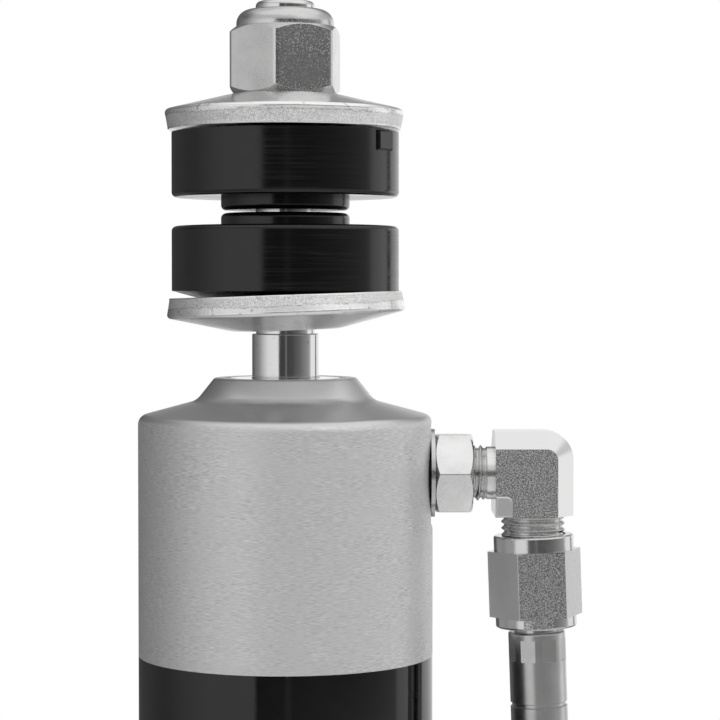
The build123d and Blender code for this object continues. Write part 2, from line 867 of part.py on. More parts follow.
# Reservoir, drawn around its own axis
reservoir_at = Pos(reservoir_x, 0, 0)


def reservoir_adapter():
    """Straight fitting: male cone end up, hexagon, and a stud in the oil cap."""
    stud_bottom = adapter_face_z - adapter_thread_length
    nose = Pos(0, 0, adapter_hex_top_z) * Rot(180, 0, 0) * elbow_nose(
        outlet_thread_length, outlet_thread_od
    )
    body = nose + chamfered_hexagon(
        adapter_across_flats,
        adapter_face_z,
        adapter_hex_top_z,
        adapter_hex_chamfer,
        adapter_corner_angle,
    )
    body += ring(adapter_thread_od, 0, stud_bottom, adapter_face_z + past)
    body -= through_cut(oil_way, stud_bottom, adapter_hex_top_z + outlet_thread_length)
    return reservoir_at * body


def adapter_seal():
    """O-ring in the oil cap's port under the adapter."""
    lying = Torus(adapter_seal_middle_od / 2, adapter_seal_section / 2)
    return reservoir_at * Pos(0, 0, reservoir_top_z - adapter_seal_section / 2 - seat) * lying


def reservoir_tube():
    """Reservoir cylinder, with a snap ring groove near each end."""
    body = ring(reservoir_od, reservoir_bore, reservoir_bottom_z, reservoir_top_z)
    body -= snap_groove(reservoir_bore, reservoir_cap_top_z)
    body -= snap_groove(reservoir_bore, gas_cap_bottom_z - snap_ring_height)
    return reservoir_at * body


def end_cap_outline(face_z, inner_z, boss_z_offset):
    """Outline of a reservoir cap from its outer face to its inner face, with a central boss."""
    radius = reservoir_bore / 2 - seat
    boss = reservoir_port_boss_od / 2
    return [
        (0, inner_z),
        (radius, inner_z),
        (radius, face_z),
        (boss, face_z),
        (boss, face_z + boss_z_offset),
        (0, face_z + boss_z_offset),
    ]


def reservoir_oil_cap():
    """Upper plug of the reservoir with the hose port on its boss."""
    body = turned(end_cap_outline(
        reservoir_cap_top_z, reservoir_cap_bottom_z, reservoir_cap_recess
    ))
    seal_z = (reservoir_cap_top_z + reservoir_cap_bottom_z) / 2
    body -= seal_groove(reservoir_bore, seal_z)
    stud_bottom = adapter_face_z - adapter_thread_length
    body -= bore_cut(adapter_thread_od + 2 * seat, stud_bottom - seat, reservoir_top_z + past)
    seal_room = adapter_seal_middle_od + adapter_seal_section + 2 * seat
    seal_floor_z = reservoir_top_z - adapter_seal_section - 2 * seat
    body -= bore_cut(seal_room, seal_floor_z, reservoir_top_z + past)
    body -= bore_cut(oil_way, reservoir_cap_bottom_z - past, reservoir_top_z)
    funnel_top_z = reservoir_cap_bottom_z + oil_cap_funnel_height
    body -= turned([
        (0, reservoir_cap_bottom_z - past),
        (reservoir_bore / 2 - oil_cap_funnel_wall, reservoir_cap_bottom_z - past),
        (oil_way / 2, funnel_top_z),
        (0, funnel_top_z),
    ])
    return reservoir_at * body


def reservoir_gas_cap():
    """Lower plug of the reservoir, with the gas valve screwed into its boss."""
    body = turned(end_cap_outline(gas_cap_bottom_z, gas_cap_top_z, -gas_boss_height))
    seal_z = (gas_cap_top_z + gas_cap_bottom_z) / 2
    body -= seal_groove(reservoir_bore, seal_z)
    face = valve_face_z()
    body -= bore_cut(valve_thread_od + 2 * seat, face - past, face + valve_seat_length)
    body -= bore_cut(valve_bore, face, gas_cap_top_z + past)
    return reservoir_at * body


def reservoir_cap_seals():
    """One O-ring on each of the reservoir's plugs."""
    middles = [
        (reservoir_cap_top_z + reservoir_cap_bottom_z) / 2,
        (gas_cap_top_z + gas_cap_bottom_z) / 2,
    ]
    return [reservoir_at * plug_seal(reservoir_bore, height) for height in middles]


def reservoir_snap_rings():
    """One snap ring outside each of the reservoir's plugs."""
    bottoms = [reservoir_cap_top_z + squeeze / 2, gas_cap_bottom_z - snap_ring_height]
    return [reservoir_at * snap_ring(reservoir_bore, bottom) for bottom in bottoms]


def floating_piston_top():
    """Height of the floating piston's oil side."""
    return reservoir_cap_bottom_z - floating_piston_start_gap


def floating_piston():
    """Cup-shaped piston that keeps gas and oil apart, its hollow towards the gas."""
    top = floating_piston_top()
    bottom = top - floating_piston_height
    radius = reservoir_bore / 2 - floating_piston_gap
    dish = radius - floating_piston_dish_wall
    inside = radius - floating_piston_wall
    body = turned([
        (0, top - floating_piston_dish),
        (dish, top - floating_piston_dish),
        (dish + floating_piston_dish, top),
        (radius, top, edge_round),
        (radius, bottom, edge_round),
        (inside, bottom),
        (inside, bottom + floating_piston_skirt, floating_piston_wall / 2),
        (0, bottom + floating_piston_skirt),
    ])
    body -= seal_groove(reservoir_bore, floating_seal_z())
    return reservoir_at * (body - band_groove(reservoir_bore, floating_band_z()))


def floating_seal_z():
    """Height of the floating piston's O-ring."""
    return floating_piston_top() - floating_seal_below_top


def floating_band_z():
    """Lower edge of the floating piston's wear band."""
    return floating_piston_top() - floating_piston_height + floating_band_above_skirt


def floating_piston_seal():
    """O-ring between gas and oil."""
    return reservoir_at * plug_seal(reservoir_bore, floating_seal_z(), 2 * slip)


def wear_band(bore, bottom):
    """Split band that guides a piston in its bore, open towards +X."""
    outer = bore / 2 - slip
    split = Pos(outer, 0) * Rectangle(4 * band_thickness, band_split)
    outline = Circle(outer) - Circle(outer - band_thickness) - split
    return Pos(0, 0, bottom) * extrude(outline, band_width)


def band_groove(bore, bottom):
    """The cutter for a wear band's groove in its piston."""
    inner = bore - 2 * (slip + band_thickness + band_play)
    return ring(bore, inner, bottom - band_play, bottom + band_width + band_play)


def floating_piston_band():
    """Wear band of the floating piston."""
    return reservoir_at * wear_band(reservoir_bore, floating_band_z())


# Gas valve, drawn around the reservoir's axis and pointing down
def valve_face_z():
    """Height of the gas cap's boss, where the valve's hexagon seats."""
    return gas_cap_bottom_z - gas_boss_height


def valve_spout_z():
    """Height of the valve spout's mouth."""
    return valve_face_z() - seat - valve_hex_height - valve_thread_length


def gas_valve():
    """Valve stem: hexagon on the cap, threaded spout and tail, bored for the core."""
    face = valve_face_z() - seat
    tail_top = face + valve_seat_length - past
    spout = valve_thread_od / 2 - valve_thread_depth
    body = chamfered_hexagon(valve_hex, face - valve_hex_height, face, valve_hex_chamfer)
    body += ring(valve_thread_od, 0, face - past, tail_top)
    body += turned([
        (0, valve_spout_z()),
        (spout, valve_spout_z(), edge_round),
        (spout, face - past),
        (0, face - past),
    ])
    return reservoir_at * (body - through_cut(valve_bore, valve_spout_z(), tail_top))


def valve_core():
    """Spring-loaded pin of the valve core, its head at the spout and its disc inside."""
    pin_z = valve_spout_z() + valve_pin_recess
    disc_z = pin_z + valve_pin_stroke + valve_spring_room
    pin = ring(valve_pin_od, 0, pin_z, pin_z + valve_pin_length)
    disc = ring(valve_bore - valve_disc_play, 0, disc_z, disc_z + valve_disc_height)
    return reservoir_at * (pin + disc)


def valve_cap():
    """Dust cap over the valve's spout."""
    bottom = valve_spout_z() - valve_cap_crown
    top = bottom + valve_cap_height
    body = turned([
        (0, bottom),
        (valve_cap_od / 2, bottom, valve_cap_crown_wall),
        (valve_cap_od / 2, top, fine_round),
        (0, top),
    ])
    mouth = bore_cut(valve_thread_od + valve_cap_play, bottom + valve_cap_crown_wall, top + past)
    return reservoir_at * (body - mouth)


# Clamps, drawn in plan around height 0
def clamp_ring(centre_x, radius):
    """The disc of clamp material around one cylinder, with ears for its screws."""
    outer = radius + clamp_wall
    ears = Rectangle(clamp_ear_width + clamp_split, 2 * (radius + clamp_ear_reach))
    return Pos(centre_x, 0) * (Circle(outer) + ears)


def clamp_outline():
    """Plan of a whole clamp before it is split: two rings and the waist between them."""
    waist = Pos(reservoir_x / 2, 0) * Rectangle(reservoir_x, clamp_waist)
    body = clamp_ring(0, body_od / 2) + clamp_ring(reservoir_x, reservoir_od / 2) + waist
    body -= Circle(body_od / 2 + seat)
    return body - Pos(reservoir_x, 0) * Circle(reservoir_od / 2 + seat)


def clamp_blank(middle_z):
    """A whole clamp as one thick plate with its top and bottom edges broken."""
    plate = extrude(clamp_outline(), clamp_height)
    plate = chamfer(plate.edges().filter_by(Plane.XY), clamp_edge_break)
    return Pos(0, 0, middle_z - clamp_height / 2) * plate


def clamp_slab(low_x, high_x, middle_z):
    """A box that keeps the clamp material between two planes across X."""
    size = (high_x - low_x, 4 * body_od, clamp_height + 2 * past)
    return Pos((low_x + high_x) / 2, 0, middle_z) * Box(*size)


def clamp_screw_places(middle_z):
    """Where each clamp's four screws enter: position of the head's seat and its direction."""
    places = []
    for centre_x, radius, outward in ((0, body_od / 2, -1), (reservoir_x, reservoir_od / 2, 1)):
        y = radius + (clamp_wall + clamp_ear_reach) / 2
        head_x = centre_x + outward * (clamp_ear_width + clamp_split) / 2
        for side in (-1, 1):
            turn = Rot(0, -90 if outward < 0 else 90, 0)
            places.append(Pos(head_x, side * y, middle_z) * turn)
    return places


def clamp_screw():
    """Socket-head screw, head up at height 0, shank down through both ears."""
    shank = clamp_ear_width + clamp_split - clamp_screw_short
    head = turned([
        (0, seat),
        (clamp_screw_head_od / 2, seat),
        (clamp_screw_head_od / 2, clamp_screw_head_height, edge_round),
        (0, clamp_screw_head_height),
    ])
    socket_z = clamp_screw_head_height - clamp_screw_socket_depth
    head -= hexagon(clamp_screw_socket, socket_z, clamp_screw_head_height + past)
    return head + ring(clamp_screw_od, 0, -shank, seat + past)


def clamp_pieces(middle_z):
    """Saddle, body strap and reservoir strap of one clamp, drilled for their screws."""
    blank = clamp_blank(middle_z)
    for location in clamp_screw_places(middle_z):
        shank = clamp_ear_width + clamp_split
        blank -= location * bore_cut(clamp_screw_od + 2 * seat, -shank, past)
        blank -= location * bore_cut(clamp_screw_head_od + clamp_spot_gap, 0, body_od)
    half_split = clamp_split / 2
    far = 2 * body_od
    saddle = blank & clamp_slab(half_split, reservoir_x - half_split, middle_z)
    body_strap = blank & clamp_slab(-far, -half_split, middle_z)
    reservoir_strap = blank & clamp_slab(reservoir_x + half_split, reservoir_x + far, middle_z)
    return saddle, body_strap, reservoir_strap


def clamp_heights():
    """Middle heights of the upper and the lower clamp."""
    upper = reservoir_top_z - upper_clamp_below_top
    return upper, upper - clamp_spacing


def clamp_screws():
    """The eight screws of both clamps."""
    return [
        location * clamp_screw()
        for middle_z in clamp_heights()
        for location in clamp_screw_places(middle_z)
    ]


# Seal head
def seal_head():
    """Gland at the tube's foot that carries the rod bush, seal and wiper."""
    bottom, top = seal_head_bottom_z, seal_head_top_z
    radius = body_bore / 2 - seat
    body = turned([
        (rod_od / 2 + seal_head_play, bottom),
        (radius, bottom),
        (radius, top, lead_round),
        (rod_od / 2 + seal_head_play, top),
    ])
    body -= seal_groove(body_bore, (bottom + top) / 2)
    body -= bore_cut(rod_od + 2 * bush_wall + 2 * seat + 2 * slip, bush_z(), bush_z() + bush_height)
    body -= bore_cut(rod_od + 2 * rod_seal_wall, rod_seal_z(), rod_seal_z() + rod_seal_height)
    return body


def bush_z():
    """Lower end of the rod bush."""
    return seal_head_top_z - bush_height - bush_below_head_top


def rod_seal_z():
    """Lower face of the rod seal's groove."""
    return seal_head_bottom_z + rod_seal_above_head_foot


def rod_bush():
    """Plain bearing bush that guides the rod."""
    inner = rod_od + 2 * slip
    return ring(inner + 2 * bush_wall, inner, bush_z() + seat, bush_z() + bush_height - seat)


def rod_seal():
    """Lip seal on the rod."""
    inner, outer = rod_od / 2 + slip, rod_od / 2 + rod_seal_wall - seat
    bottom, top = rod_seal_z() + seat, rod_seal_z() + rod_seal_height - seat
    return turned([
        (inner, bottom),
        (outer, bottom),
        (outer, top),
        (outer - 1.2, top),
        ((inner + outer) / 2, top - 2.2),
        (inner + 1.0, top),
        (inner, top - 0.4),
    ])


def seal_head_seal():
    """O-ring between seal head and tube."""
    return plug_seal(body_bore, (seal_head_bottom_z + seal_head_top_z) / 2)


def seal_head_snap_ring():
    """Snap ring that holds the seal head in the tube."""
    return snap_ring(body_bore, seal_head_bottom_z - snap_ring_height + squeeze / 2)


def wiper_cap():
    """Dust cap at the tube's foot: a spigot in the tube, a flange and pin-spanner holes."""
    top = tube_bottom_z + wiper_cap_spigot
    body = turned([
        (rod_od / 2 + wiper_cap_play, wiper_cap_bottom_z),
        (body_od / 2 - wiper_cap_taper * 2, wiper_cap_bottom_z, edge_round),
        (body_od / 2, wiper_cap_bottom_z + wiper_cap_taper, edge_round),
        (body_od / 2, tube_bottom_z - seat),
        (body_bore / 2 - seat, tube_bottom_z - seat),
        (body_bore / 2 - seat, top, edge_round),
        (rod_od / 2 + wiper_cap_play, top),
    ])
    outside = wiper_cap_bottom_z - past
    body -= bore_cut(rod_od + 2 * wiper_wall, outside, wiper_cap_bottom_z + wiper_height)
    hole = Pos(body_od / 2 - wiper_cap_hole_edge, 0, 0) * bore_cut(
        wiper_cap_hole_od, outside, wiper_cap_bottom_z + wiper_cap_hole_depth
    )
    for index in range(wiper_cap_holes):
        body -= Rot(0, 0, 45 + index * 360 / wiper_cap_holes) * hole
    return body


def rod_wiper():
    """Scraper ring in the dust cap, its lip standing just below it."""
    inner, outer = rod_od / 2 + slip, rod_od / 2 + wiper_wall - seat
    bottom, top = wiper_cap_bottom_z, wiper_cap_bottom_z + wiper_height - seat
    return turned([
        (inner, bottom - wiper_lip_out),
        (inner + 0.7, bottom - wiper_lip_out),
        (inner + 1.6, bottom + 0.6),
        (outer, bottom + 0.6),
        (outer, top),
        (inner + 0.8, top),
        (inner + 0.8, bottom + 2.5),
        (inner, bottom + 1.5),
    ])


# Rod and piston
def piston_rod():
    """Rod: a stud through the piston, a shoulder, the polished shaft and a tail in the eye."""
    stud_top = piston_nut_z + piston_nut_height + past
    return turned([
        (0, eye_top_z - rod_in_eye),
        (rod_end_od / 2, eye_top_z - rod_in_eye, lead_round),
        (rod_end_od / 2, eye_top_z),
        (rod_od / 2, eye_top_z),
        (rod_od / 2, rod_shoulder_z, edge_round),
        (rod_stud_od / 2, rod_shoulder_z),
        (rod_stud_od / 2, stud_top, lead_round),
        (0, stud_top),
    ])


def piston_band_z():
    """Lower edge of the main piston's wear band."""
    return (piston_bottom_z + piston_top_z - band_width) / 2


def piston_face(face_z, inwards):
    """One face of the piston from the middle out: the washer's land, a relief, the shims' seat."""
    land = stop_washer_od / 2
    seat_in = shim_largest_od / 2 - piston_seat_width
    relief_z = face_z + inwards * piston_face_relief
    return [
        (rod_stud_od / 2 + seat, face_z),
        (land, face_z),
        (land + piston_seat_slope, relief_z),
        (seat_in - piston_seat_slope, relief_z),
        (seat_in, face_z),
        (shim_largest_od / 2, face_z),
        (body_bore / 2 - piston_side_gap, face_z + inwards * piston_edge_taper),
    ]


def piston():
    """Main piston with a ring of straight oil ports and a groove for its band."""
    lower = piston_face(piston_bottom_z, 1)
    upper = piston_face(piston_top_z, -1)
    body = turned(lower + upper[::-1]) - band_groove(body_bore, piston_band_z())
    port = Pos(piston_port_circle / 2, 0, 0) * through_cut(
        piston_port_od, piston_bottom_z, piston_top_z
    )
    for index in range(piston_port_count):
        body -= Rot(0, 0, index * 360 / piston_port_count) * port
    return body


def piston_wear_band():
    """Wear band that slides in the tube while the piston may turn inside it."""
    return wear_band(body_bore, piston_band_z())


def shims(start_z, direction):
    """A pyramid of thin discs that starts on the piston and gets smaller away from it."""
    bore = rod_stud_od + 2 * seat
    step = (shim_largest_od - shim_smallest_od) / (shim_count - 1)
    stack = []
    for index in range(shim_count):
        low = start_z + direction * index * shim_thickness
        high = low + direction * shim_thickness
        outer = shim_largest_od - index * step
        stack.append(ring(outer, bore, min(low, high), max(low, high)))
    return stack


def stop_washers():
    """Thick washers that back the two shim stacks."""
    bore = rod_stud_od + 2 * seat
    return [
        ring(stop_washer_od, bore, bottom, bottom + stop_washer_height)
        for bottom in (rod_shoulder_z, compression_stop_z)
    ]


def piston_nut():
    """Nut that clamps piston and shims to the rod."""
    top = piston_nut_z + piston_nut_height
    body = chamfered_hexagon(piston_nut_across_flats, piston_nut_z, top, nut_chamfer)
    return body - through_cut(rod_stud_od + 2 * seat, piston_nut_z, top)


def top_out_bumper():
    """Rubber ring that cushions the piston against the seal head."""
    inner, outer = rod_od / 2 + 2 * squeeze, bumper_od / 2
    bottom, top = bumper_bottom_z, bumper_bottom_z + bumper_height
    return turned([
        (inner, bottom),
        (outer - bumper_taper_width, bottom),
        (outer, bottom + bumper_taper_height),
        (outer, top - seat),
        (inner, top - seat),
    ])


# Lower eye, drawn around its bolt's axis
def lower_eye():
    """Eye: a ring across Y under a round neck with spanner flats, bored for rod and bushings."""
    to_y = Pos(0, 0, eye_z) * Rot(90, 0, 0)
    eye = to_y * turned([
        (0, -eye_width / 2),
        (eye_od / 2, -eye_width / 2, eye_edge_round),
        (eye_od / 2, eye_width / 2, eye_edge_round),
        (0, eye_width / 2),
    ])
    flare_end = eye_z + eye_od / 2 + eye_neck_flare_above_ring
    neck = turned([
        (0, eye_z),
        (eye_neck_od / 2 + eye_neck_flare, eye_z + eye_od / 4),
        (eye_neck_od / 2, flare_end, 4.0),
        (eye_neck_od / 2, eye_top_z, lead_round),
        (0, eye_top_z),
    ])
    body = (eye + neck) & Pos(0, 0, eye_z) * Box(4 * eye_od, eye_width, 4 * eye_od)
    flat_middle = eye_top_z - eye_flat_below_top - eye_flat_height / 2
    beside = (eye_neck_flats + eye_neck_od) / 2
    for side in (-1, 1):
        body -= Pos(side * beside, 0, flat_middle) * Box(eye_neck_od, eye_od, eye_flat_height)
    body -= to_y * bore_cut(eye_bore, -eye_width, eye_width)
    tail_room = rod_in_eye + rod_end_play
    return body - bore_cut(rod_end_od + 2 * seat, eye_top_z - tail_room, eye_top_z + past)


def eye_bushings():
    """Two flanged half bushings pressed in from either side of the eye."""
    inner = sleeve_od / 2 + sleeve_running
    outer = eye_bore / 2 - seat
    half = [
        (inner, eye_bushing_halves_gap / 2),
        (outer, eye_bushing_halves_gap / 2, edge_round),
        (outer, eye_width / 2 + seat),
        (eye_bushing_flange_od / 2, eye_width / 2 + seat, edge_round),
        (eye_bushing_flange_od / 2, eye_width / 2 + eye_bushing_flange, lead_round),
        (inner, eye_width / 2 + eye_bushing_flange),
    ]
    to_y = Pos(0, 0, eye_z) * Rot(90, 0, 0)
    return [to_y * turned(half), to_y * Rot(180, 0, 0) * turned(half)]


def eye_sleeve():
    """Steel sleeve that the vehicle's bolt clamps; the eye turns on it."""
    radius, bore, half = sleeve_od / 2, sleeve_bore / 2, sleeve_length / 2
    sleeve = turned([
        (bore, -half),
        (radius, -half, edge_round),
        (radius, half, edge_round),
        (bore, half),
    ])
    return Pos(0, 0, eye_z) * Rot(90, 0, 0) * sleeve


def write(name, shape):
    """Writes one node; a list becomes a group of separate solids."""
    solids = shape if isinstance(shape, (list, tuple)) else [shape]
    export_step(Compound(children=[solid for group in solids for solid in group.solids()]),
                f"parts/{name}.step")


def main():
    """Builds and writes every node."""
    upper_clamp, lower_clamp = (clamp_pieces(height) for height in clamp_heights())
    nodes = {
        "stem_nut": stem_nut(),
        "nut_locking_ring": nut_locking_ring(),
        "upper_cup_washer": upper_cup_washer(),
        "upper_bushing": upper_bushing(),
        "lower_bushing": lower_bushing(),
        "lower_cup_washer": lower_cup_washer(),
        "mount_stem": mount_stem(),
        "stem_lock_ring": stem_lock_ring(),
        "body_cap": body_cap(),
        "cap_seal": cap_seal(),
        "body_tube": body_tube(),
        "port_seal": port_seal(),
        "port_washer": port_washer(),
        "port_locknut": port_locknut(),
        "port_elbow": port_elbow(),
        "upper_swivel_nut": outlet * swivel_nut(swivel_corner_angle),
        "lower_swivel_nut": inlet * swivel_nut(lower_swivel_corner_angle),
        "hose_nipples": [end * hose_nipple() for end in (outlet, inlet)],
        "upper_hose_ferrule": outlet * hose_ferrule(),
        "lower_hose_ferrule": inlet * hose_ferrule(),
        "reservoir_hose": reservoir_hose(),
        "reservoir_adapter": reservoir_adapter(),
        "adapter_seal": adapter_seal(),
        "reservoir_tube": reservoir_tube(),
        "reservoir_oil_cap": reservoir_oil_cap(),
        "reservoir_gas_cap": reservoir_gas_cap(),
        "reservoir_cap_seals": reservoir_cap_seals(),
        "reservoir_snap_rings": reservoir_snap_rings(),
        "floating_piston": floating_piston(),
        "floating_piston_seal": floating_piston_seal(),
        "floating_piston_band": floating_piston_band(),
        "gas_valve": gas_valve(),
        "valve_core": valve_core(),
        "valve_cap": valve_cap(),
        "upper_clamp_saddle": upper_clamp[0],
        "upper_clamp_body_strap": upper_clamp[1],
        "upper_clamp_reservoir_strap": upper_clamp[2],
        "lower_clamp_saddle": lower_clamp[0],
        "lower_clamp_body_strap": lower_clamp[1],
        "lower_clamp_reservoir_strap": lower_clamp[2],
        "clamp_screws": clamp_screws(),
        "seal_head": seal_head(),
        "rod_bush": rod_bush(),
        "rod_seal": rod_seal(),
        "seal_head_seal": seal_head_seal(),
        "seal_head_snap_ring": seal_head_snap_ring(),
        "wiper_cap": wiper_cap(),
        "rod_wiper": rod_wiper(),
        "piston_wear_band": piston_wear_band(),
        "piston_rod": piston_rod(),
        "piston": piston(),
        "compression_shims": shims(piston_top_z, 1),
        "rebound_shims": shims(piston_bottom_z, -1),
        "stop_washers": stop_washers(),
        "piston_nut": piston_nut(),
        "top_out_bumper": top_out_bumper(),
        "lower_eye": lower_eye(),
        "eye_bushings": eye_bushings(),
        "eye_sleeve": eye_sleeve(),
    }
    for name, shape in nodes.items():
        write(name, shape)
    print(len(nodes), "nodes; eye at", round(eye_z, 2), "reservoir at x", round(reservoir_x, 2))


os.makedirs("parts", exist_ok=True)
main()
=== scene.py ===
"""Looks of a shock absorber with a stem top mount and a reservoir beside its body.

Everything is in metres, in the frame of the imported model: the origin lies between the two stem
bushings, +Z points up along the stem and +X towards the hose port. The hose, the open threads,
the pressed washers and the valve's dust cap are modelled here; every other piece is the packed
one with its finish.
"""

from __future__ import annotations

import json
import logging
import math
from dataclasses import dataclass
from enum import Enum

import bmesh
import bpy
import numpy as np
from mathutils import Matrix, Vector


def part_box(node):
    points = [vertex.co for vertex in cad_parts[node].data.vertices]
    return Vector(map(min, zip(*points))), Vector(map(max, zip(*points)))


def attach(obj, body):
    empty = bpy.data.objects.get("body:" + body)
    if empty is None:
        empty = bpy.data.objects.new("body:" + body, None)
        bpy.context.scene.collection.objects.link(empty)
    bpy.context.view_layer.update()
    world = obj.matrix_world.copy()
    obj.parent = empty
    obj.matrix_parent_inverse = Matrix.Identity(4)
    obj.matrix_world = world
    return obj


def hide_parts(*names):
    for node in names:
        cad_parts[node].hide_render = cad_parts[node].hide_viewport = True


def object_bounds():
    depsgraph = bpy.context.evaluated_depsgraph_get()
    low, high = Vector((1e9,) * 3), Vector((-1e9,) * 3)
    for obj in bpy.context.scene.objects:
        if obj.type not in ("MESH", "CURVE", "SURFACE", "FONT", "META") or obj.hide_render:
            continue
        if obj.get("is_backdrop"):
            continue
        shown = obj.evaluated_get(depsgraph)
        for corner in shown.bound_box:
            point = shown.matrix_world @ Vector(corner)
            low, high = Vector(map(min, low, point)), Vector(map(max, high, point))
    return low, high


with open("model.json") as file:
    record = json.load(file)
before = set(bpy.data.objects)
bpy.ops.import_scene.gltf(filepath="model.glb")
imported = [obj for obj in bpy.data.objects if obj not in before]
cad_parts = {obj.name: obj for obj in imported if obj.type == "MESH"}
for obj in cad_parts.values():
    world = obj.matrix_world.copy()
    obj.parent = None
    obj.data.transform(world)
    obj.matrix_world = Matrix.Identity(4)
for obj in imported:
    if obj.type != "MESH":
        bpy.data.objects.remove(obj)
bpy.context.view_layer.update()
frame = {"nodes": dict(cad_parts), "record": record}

log = logging.getLogger("shock")

MM = 0.001
TURN = 2 * math.pi
BODY = "body"
WELD = 1e-6
NOISE_DAMPING = 4
NOISE_LIMIT = 2.2

Triple = tuple[float, float, float]
Span = tuple[float, float]
Ramp = tuple[float, float, float, float]


@dataclass(frozen=True)
class Signal:
    """A value that runs along a node link, so that shader maths reads as plain arithmetic."""

    paint: Paint
    socket: bpy.types.NodeSocket

    def _math(self, operation: str, first: object, second: object = None) -> Signal:
        """The result of a Math node with one operand or two."""
        values = {0: first} if second is None else {0: first, 1: second}
        return self.paint.node("ShaderNodeMath", {"operation": operation}, values)

    def __add__(self, other: object) -> Signal:
        """Sum."""
        return self._math("ADD", self, other)

    def __sub__(self, other: object) -> Signal:
        """Difference."""
        return self._math("SUBTRACT", self, other)

    def __mul__(self, other: object) -> Signal:
        """Product."""
        return self._math("MULTIPLY", self, other)

    def __truediv__(self, other: object) -> Signal:
        """Quotient."""
        return self._math("DIVIDE", self, other)

    def __gt__(self, other: object) -> Signal:
        """One where this value is the larger, else zero."""
        return self._math("GREATER_THAN", self, other)

    def __radd__(self, other: object) -> Signal:
        """Sum with a number on the left."""
        return self._math("ADD", other, self)

    def __rsub__(self, other: object) -> Signal:
        """Difference with a number on the left."""
        return self._math("SUBTRACT", other, self)

    def __rmul__(self, other: object) -> Signal:
        """Product with a number on the left."""
        return self._math("MULTIPLY", other, self)

    def __abs__(self) -> Signal:
        """Absolute value."""
        return self._math("ABSOLUTE", self)

    def at_most(self, limit: float) -> Signal:
        """This value, or the limit where it is larger."""
        return self._math("MINIMUM", self, limit)


class Paint:
    """Builds the node tree of one material or of the world."""

    def __init__(self, owner: bpy.types.ID) -> None:
        """Empties the node tree of a material or a world."""
        owner.use_nodes = True
        self.tree = owner.node_tree
        self.tree.nodes.clear()

    def node(
        self,
        kind: str,
        settings: dict[str, object] | None = None,
        inputs: dict[str | int, object] | None = None,
        output: str | int = 0,
    ) -> Signal | None:
        """Adds a node, sets it up and fills its sockets.

        Args:
            kind: The node's type.
            settings: Properties that are set first; "stops" holds a ramp's (place, value) pairs.
            inputs: Socket name or number to a number, a colour or a Signal.
            output: Which output to return.

        Returns:
            The chosen output, or None where the node has none.
        """
        node = self.tree.nodes.new(kind)
        for name, value in (settings or {}).items():
            if name == "stops":
                self._fill_ramp(node.color_ramp, value)
            else:
                setattr(node, name, value)
        for name, value in (inputs or {}).items():
            if isinstance(value, Signal):
                self.tree.links.new(value.socket, node.inputs[name])
            else:
                node.inputs[name].default_value = value
        return Signal(self, node.outputs[output]) if len(node.outputs) else None

    @staticmethod
    def _fill_ramp(ramp: bpy.types.ColorRamp, stops: list[Span]) -> None:
        """Writes grey stops, pairs of place and brightness, into a colour ramp."""
        for index, (place, value) in enumerate(stops):
            element = ramp.elements[index] if index < 2 else ramp.elements.new(place)
            element.position = place
            element.color = (value, value, value, 1.0)

    def place(self, scale: Triple = (1.0, 1.0, 1.0)) -> Signal:
        """Object coordinates, each multiplied by its factor."""
        point = self.node("ShaderNodeTexCoord", output="Object")
        return self.node("ShaderNodeVectorMath", {"operation": "MULTIPLY"}, {0: point, 1: scale})

    def part(self, vector: Signal, axis: str) -> Signal:
        """One part of a vector, along X, Y or Z."""
        return self.node("ShaderNodeSeparateXYZ", inputs={0: vector}, output=axis)

    def noise(self, where: Signal, size: float, detail: float = 3.0) -> Signal:
        """Noise between 0 and 1 with waves of the given size and that many finer layers."""
        return self.node(
            "ShaderNodeTexNoise", inputs={"Vector": where, "Scale": 1 / size, "Detail": detail}
        )

    def ramp(self, value: Signal, low: float, high: float, start: float, end: float) -> Signal:
        """Carries a value from low..high to start..end and holds it beyond the ends."""
        return self.node(
            "ShaderNodeMapRange", inputs={0: value, 1: low, 2: high, 3: start, 4: end}
        )

    def colour(self, value: Signal, dark: Triple, light: Triple) -> Signal:
        """The dark colour at 0, the light one at 1 and their mixture between."""
        return self.node(
            "ShaderNodeMix",
            {"data_type": "RGBA"},
            {0: value, 6: (*dark, 1.0), 7: (*light, 1.0)},
            output=2,
        )

    def bump(self, height: Signal, distance: float, strength: float = 1.0) -> Signal:
        """The normal of a height between 0 and 1, of which 1 stands for a distance in metres."""
        return self.node(
            "ShaderNodeBump", inputs={"Strength": strength, "Distance": distance, "Height": height}
        )

    def surface(self, inputs: dict[str | int, object]) -> None:
        """Ends the material in one principled surface."""
        shader = self.node("ShaderNodeBsdfPrincipled", inputs=inputs)
        self.node("ShaderNodeOutputMaterial", inputs={"Surface": shader})


def shaded(tone: Triple, factor: float, lift: float = 0.0) -> Triple:
    """A colour times a factor, plus a lift, held at 1."""
    return tuple(min(1.0, channel * factor + lift) for channel in tone)


class Recipe:
    """What all finishes share: a name and the making of the material."""

    name: str

    def build(self) -> bpy.types.Material:
        """Makes the material and lets the finish paint it."""
        material = bpy.data.materials.new(self.name)
        self.apply(Paint(material))
        return material

    def apply(self, paint: Paint) -> None:
        """Fills the material's node tree."""
        raise NotImplementedError


